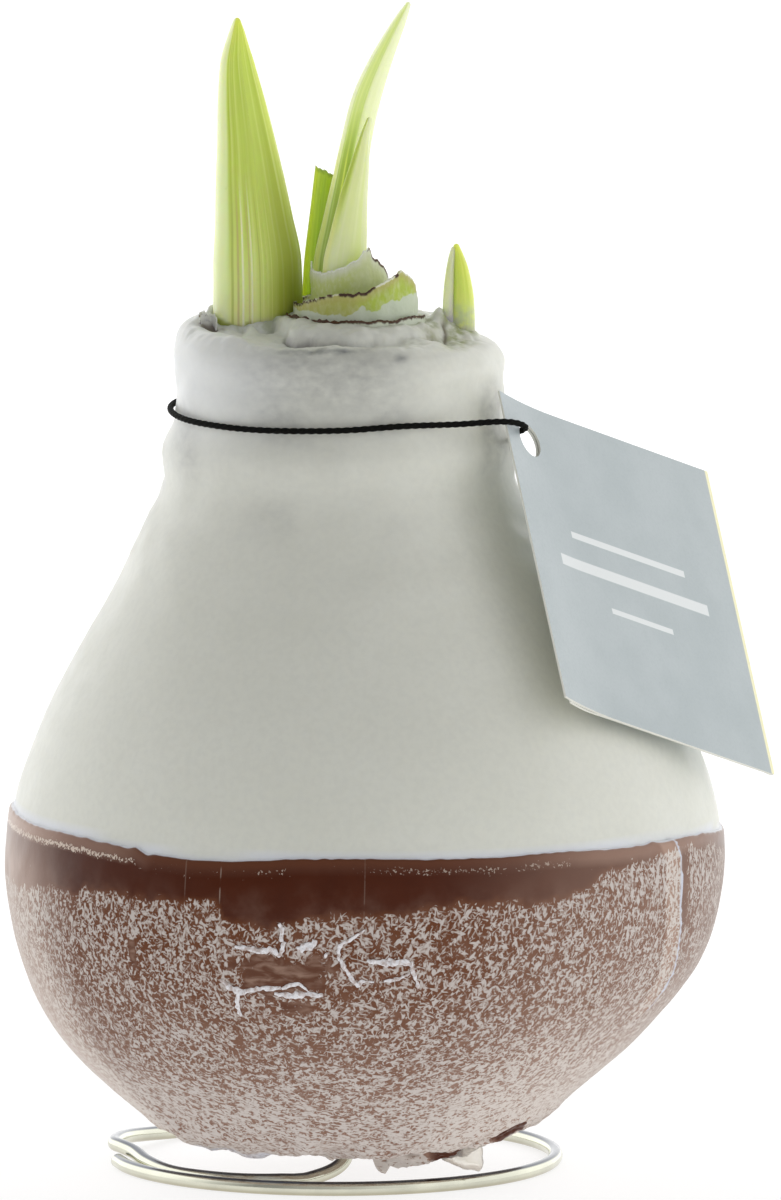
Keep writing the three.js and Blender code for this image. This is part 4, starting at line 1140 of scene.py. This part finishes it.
def make_scales():
    brown = (62, 36, 20)
    green = papery("outer_scale", (178, 197, 72), (182, 178, 104), brown)
    grey = papery("inner_scale", (196, 208, 128), (214, 218, 192), brown, 0.5)
    scale_ring(
        "outer_scale", STUMP, OUTER_RADIUS, 1.0, 104, green, 101,
        rim=[
            (0, 110.2), (20, 110.3), (90, 110.8), (180, 109.9), (209, 110.5), (249, 111.8), (279, 112.3),
            (291, 112.9), (304, 113.8), (318, 114.6), (333, 113.6), (342, 112.6), (352, 111), (360, 110.2),
        ],
        fresh=[(0, 1), (200, 0.3), (268, 0.35), (285, 1), (300, 1), (360, 1)],
        waxed=[
            (0, 110.4), (200, 109.6), (250, 109.5), (266, 109.4), (276, 110.6), (286, 109.9), (300, 110.9),
            (316, 111.3), (330, 111.7), (350, 111.3), (360, 110.4),
        ],
        burnt=[
            (0, 0.3), (200, 0.5), (243, 0.55), (252, 0.35), (262, 0.9), (284, 0.9), (292, 0.1), (306, 0.0),
            (312, 0.7), (320, 0.1), (360, 0.3),
        ],
        node="bulb",
    )
    scale_ring(
        "inner_scale", INNER_MIDDLE, INNER_RADIUS, 0.55, 107, grey, 111,
        rim=[
            (172, 110), (178, 113), (183, 115.3), (190, 114.5), (201, 114.2), (222, 114.1), (244, 114.4),
            (263, 115), (277, 115.9), (288, 116.9), (297, 117.3), (303, 116.2), (312, 115.7), (325, 114.7),
            (339, 113.5), (350, 112), (362, 110),
        ],
        fresh=[(172, 1), (262, 1), (290, 0.5), (362, 0.4)],
        waxed=100,
        burnt=[(172, 0), (286, 0), (294, 0.5), (302, 0.9), (345, 0.9), (362, 0.4)],
    )
    scale_ring(
        "waxed_scale", STUMP, 8.7, 0.5, 104, green, 121,
        rim=[
            (150, 106.5), (175, 108.6), (209, 108.9), (250, 108.8), (270, 108.9), (300, 108.7),
            (330, 108.9), (350, 108.6), (375, 106.5),
        ],
        fresh=0.2,
        waxed=108.7,
        burnt=[(150, 0.5), (205, 2.4), (250, 2.2), (258, 0.9), (300, 0.7), (345, 0.7), (375, 0.3)],
    )
    scale_ring(
        "open_scale", (-15.8, -2.5), 1.1, 0.35, 106.8,
        papery("dry_scale", (112, 82, 50), (92, 62, 46), (84, 62, 60), 0.9, (222, 223, 220)), 126,
        rim=[(-20, 107.9), (30, 108.6), (90, 108.9), (140, 109.2), (170, 108.8), (200, 107.9)],
        fresh=[(0, 0), (200, 0.6)],
        waxed=109,
        burnt=[(0, 0.2), (200, 0.5)],
    )
    make_stump(green)


# ---------------------------------------------------------------- wire, cord and tag


def wire_path():
    degrees = np.arange(RING["start"], RING["end"] + 1, 10)
    height = WIRE / 2 + RING["rise"] * smooth(degrees, RING["rise_from"], RING["end"])
    degrees, radius, height = np.vstack([xyz(degrees, RING["radius"], height), WIRE_INNER]).T
    angle = np.radians(degrees)
    flat = xyz(radius * np.cos(angle), RING["y"] + radius * np.sin(angle), height)
    spike = xyz(SPIKE["x"], SPIKE["y"], np.linspace(SPIKE["foot"], SPIKE["top"], 5))
    path = spline(np.vstack([flat, spike]), np.linspace(0, 1, 1100))
    # nowhere below the surface it stands on
    path[:, 2] = np.maximum(path[:, 2], WIRE / 2)
    return path


def make_wire():
    make("wire", *sweep(wire_path(), WIRE / 2, 24), "steel_wire", steel(), node="wire_stand")


def make_cord():
    out = CORD_OFF_WAX + CORD / 2
    points = [over_wax(a, h, out) for a, h in CORD_ROUND] + [np.array(p) for p in CORD_TO_TAG]
    path = spline(points, np.arange(1300) / 1300, closed=True)

    def twist(length, angle):
        return 0.035 * np.sin(2 * angle + length * TAU / 1.1)

    thick = CORD / 2 - 0.02
    loop = sweep(path, thick, 16, True, twist)
    middle = over_wax(KNOT["angle"], KNOT["height"], GAP + KNOT["radius"])
    t = np.arange(240) / 240 * TAU
    trefoil = xyz(np.sin(t) + 2 * np.sin(2 * t), 0.9 * np.sin(3 * t), np.cos(t) - 2 * np.cos(2 * t))
    knot = sweep(middle + KNOT["loop"] * trefoil, KNOT["thick"], 14, True, twist)
    tails = []
    for way in (-1, 1):
        tail = [middle]
        for degrees, drop_by, off in ((4.8, 2, 1.6), (8, 4, 1.3)):
            tail.append(over_wax(KNOT["angle"] + way * degrees, KNOT["height"] - drop_by, off))
        tails.append(sweep(spline(tail, np.linspace(0, 1, 60)), thick, 16, False, twist))
    make("cord_loop", *join(loop, knot, *tails), "elastic", elastic(), node="cord")


def tag_axes():
    """Unit vectors along the tag's width, down it and out of its face."""
    lean, roll, turn = (math.radians(TAG[k]) for k in ("lean", "roll", "turn"))

    def about(axis, angle):
        c, s = math.cos(angle), math.sin(angle)
        i, j = (axis + 1) % 3, (axis + 2) % 3
        m = np.eye(3)
        m[i, i], m[i, j], m[j, i], m[j, j] = c, -s, s, c
        return m

    m = about(2, turn) @ about(0, -lean) @ about(1, roll)
    return m @ (1, 0, 0), m @ (0, 0, -1), m @ (0, -1, 0)


def tag_section():
    """The card across its fold: distance from the left edge, outward place, and 1 for the rear leaf."""
    side, wall = TAG["side"], TAG["card"]
    back = 2 * wall + TAG["fold_gap"]
    across = np.concatenate([np.linspace(0, TAG["curl_width"], 13), np.linspace(16, side - back / 2, 8)])
    curled = TAG["curl"] * np.clip(1 - across / TAG["curl_width"], 0, 1) ** 2
    gap = TAG["open_gap"] + (TAG["fold_gap"] - TAG["open_gap"]) * across / side
    front = np.stack([across, curled], -1)
    rear = np.stack([across + 1.7 * (1 - across / side), curled - 2 * wall - gap], -1)
    turn = np.linspace(math.pi / 2, -math.pi / 2, 13)[1:-1]
    middle, radius = np.array([side - back / 2, -back / 2]), back / 2

    def fold(size):
        return middle + size * np.stack([np.cos(turn), np.sin(turn)], -1)

    front_inside, rear_inside = front - (0, wall), rear + (0, wall)
    inside = fold(radius - wall)
    runs = [front, fold(radius), rear[::-1], rear_inside, inside[::-1], front_inside[::-1]]
    behind = [0, 0.5, 1, 1, 0.5, 0]
    return np.concatenate(runs), np.concatenate([np.full(len(run), b) for run, b in zip(runs, behind)])


def make_tag():
    """Two leaves of card joined at the fold, with a hole punched through both."""
    section, behind = tag_section()
    levels = np.linspace(0, TAG["side"], 44)
    count = len(section)
    shorter = behind * (0.5 - 0.6 * smooth(section[:, 0], 15, 3)) / TAG["side"]
    rows = [np.column_stack([section[:, 0], v * (1 - shorter), section[:, 1]]) for v in levels]
    local = np.concatenate(rows)
    faces = grid_faces(len(levels), count)
    faces += [tuple(reversed(range(count))), tuple((len(levels) - 1) * count + k for k in range(count))]
    mesh = bpy.data.meshes.new("tag_card")
    mesh.from_pydata(local.tolist(), [], faces)
    card_piece = bpy.data.objects.new("tag_card", mesh)
    bpy.context.scene.collection.objects.link(card_piece)
    bpy.ops.mesh.primitive_cylinder_add(vertices=64, radius=TAG["hole"] / 2, depth=8, calc_uvs=False)
    punch = bpy.context.object
    punch.location = (TAG["hole_in"], TAG["hole_in"], 0)
    cut = card_piece.modifiers.new("hole", "BOOLEAN")
    cut.object, cut.operation, cut.solver = punch, "DIFFERENCE", "EXACT"
    graph = bpy.context.evaluated_depsgraph_get()
    punched = bpy.data.meshes.new_from_object(card_piece.evaluated_get(graph))
    bpy.data.objects.remove(punch)
    card_piece.modifiers.clear()
    card_piece.data = punched
    punched.materials.clear()
    punched.materials.append(card())
    punched.materials.append(card_paper())
    count = len(punched.vertices)
    local = np.empty(count * 3)
    punched.vertices.foreach_get("co", local)
    local = local.reshape(-1, 3)
    corners = np.empty(len(punched.loops), np.int32)
    punched.loops.foreach_get("vertex_index", corners)
    layer = punched.uv_layers.new(name="UVMap")
    layer.data.foreach_set("uv", (local[corners, :2] / TAG["side"]).ravel())
    # the card is printed on its two outer faces and round the fold, and bare paper elsewhere
    side, open_gap = TAG["side"], TAG["open_gap"]
    for face in punched.polygons:
        u, v, w = face.center
        facing_out = abs(face.normal.z) > 0.3 and abs(face.normal.y) < 0.5
        depth = TAG["curl"] * max(0, 1 - u / TAG["curl_width"]) ** 2 - w
        thickness = 2 * TAG["card"] + open_gap + (TAG["fold_gap"] - open_gap) * u / side
        outer = min(abs(depth), abs(depth - thickness)) < 0.05
        round_fold = u > side - 0.8 and math.hypot(u - side + 0.55, w + 0.55) > 0.5
        face.material_index = 0 if (outer and facing_out) or round_fold else 1
    along, down, out = tag_axes()
    placed = np.array(TAG["corner"]) + local @ np.stack([along, down, out])
    punched.vertices.foreach_set("co", ((placed + SHIFT) * MM).ravel())
    punched.flip_normals()
    punched.update()
    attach(card_piece, "root")
    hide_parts("tag")


# ---------------------------------------------------------------- the studio


def stage_piece(name, points, faces, grey, glow, seen=True):
    """A plain part of the studio, which glows by the strength given for it or for each of its points."""
    mesh = bpy.data.meshes.new(name)
    mesh.from_pydata(points, [], faces)
    layer = mesh.attributes.new("glow", "FLOAT", "POINT")
    layer.data.foreach_set("value", np.zeros(len(points)) + glow)
    f = Finish(name, Roughness=0.8, Emission_Color=(1, 1, 1, 1))
    f.set("Base Color", (grey, grey, grey, 1))
    f.set("Specular IOR Level", 0.1)
    f.set("Emission Strength", f.value("glow"))
    mesh.materials.append(f.material)
    piece = bpy.data.objects.new(name, mesh)
    piece.visible_camera = seen
    bpy.context.scene.collection.objects.link(piece)


def make_studio():
    """A pale floor in a white surround. Round the object stands a light tent that the camera looks
    through: bright behind and beside the object, dim before and over it."""
    world = bpy.data.worlds.new("studio")
    bpy.context.scene.world = world
    world.use_nodes = True
    background = world.node_tree.nodes["Background"]
    background.inputs["Color"].default_value = (1, 1, 1, 1)
    background.inputs["Strength"].default_value = 1.6

    stage_piece("floor", [(-4, -4, 0), (4, -4, 0), (4, 4, 0), (-4, 4, 0)], [(0, 1, 2, 3)], 0.3, 0.76)
    count, radius, height = 48, 0.32, 0.48
    degrees = np.arange(count) * 360 / count
    glow = table(degrees, [
        (0, 1.2), (45, 1.4), (90, 1.5), (135, 1.6), (180, 1.3), (225, 0.3), (270, 0.5), (315, 1.05),
        (360, 1.2),
    ])
    ring = [(radius * math.cos(a), radius * math.sin(a)) for a in np.radians(degrees)]
    points = [(x, y, z) for z in (-0.01, height) for x, y in ring]
    stage_piece("tent", points, grid_faces(2, count), 0, np.tile(glow, 2), seen=False)
    lid = [(x, y, height) for x, y in ring]
    stage_piece("tent_lid", lid, [tuple(range(count))], 0, 0.2, seen=False)


def make_camera():
    """A long lens from a little above, as in the photo."""
    camera = bpy.data.cameras.new("camera")
    camera.lens = 720
    camera.sensor_width = 36
    camera.clip_start, camera.clip_end = 0.1, 30
    aim, distance, pitch = Vector((0.0001572, -0.00018, 0.07254)), 3, math.radians(7.5)
    holder = bpy.data.objects.new("camera", camera)
    holder.location = aim + distance * Vector((0, -math.cos(pitch), math.sin(pitch)))
    holder.rotation_euler = (math.pi / 2 - pitch, 0, 0)
    bpy.context.scene.collection.objects.link(holder)
    bpy.context.scene.camera = holder


make_camera()
make_studio()
make_white_wax()
make_brown_wax()
make_scuffs()
make_flower_bud()
make_leaf_long()
make_leaf_front()
make_leaf_cut()
make_side_bud()
make_scales()
make_wire()
make_cord()
make_tag()

bpy.context.scene.view_settings.view_transform = "Standard"
bpy.context.view_layer.update()
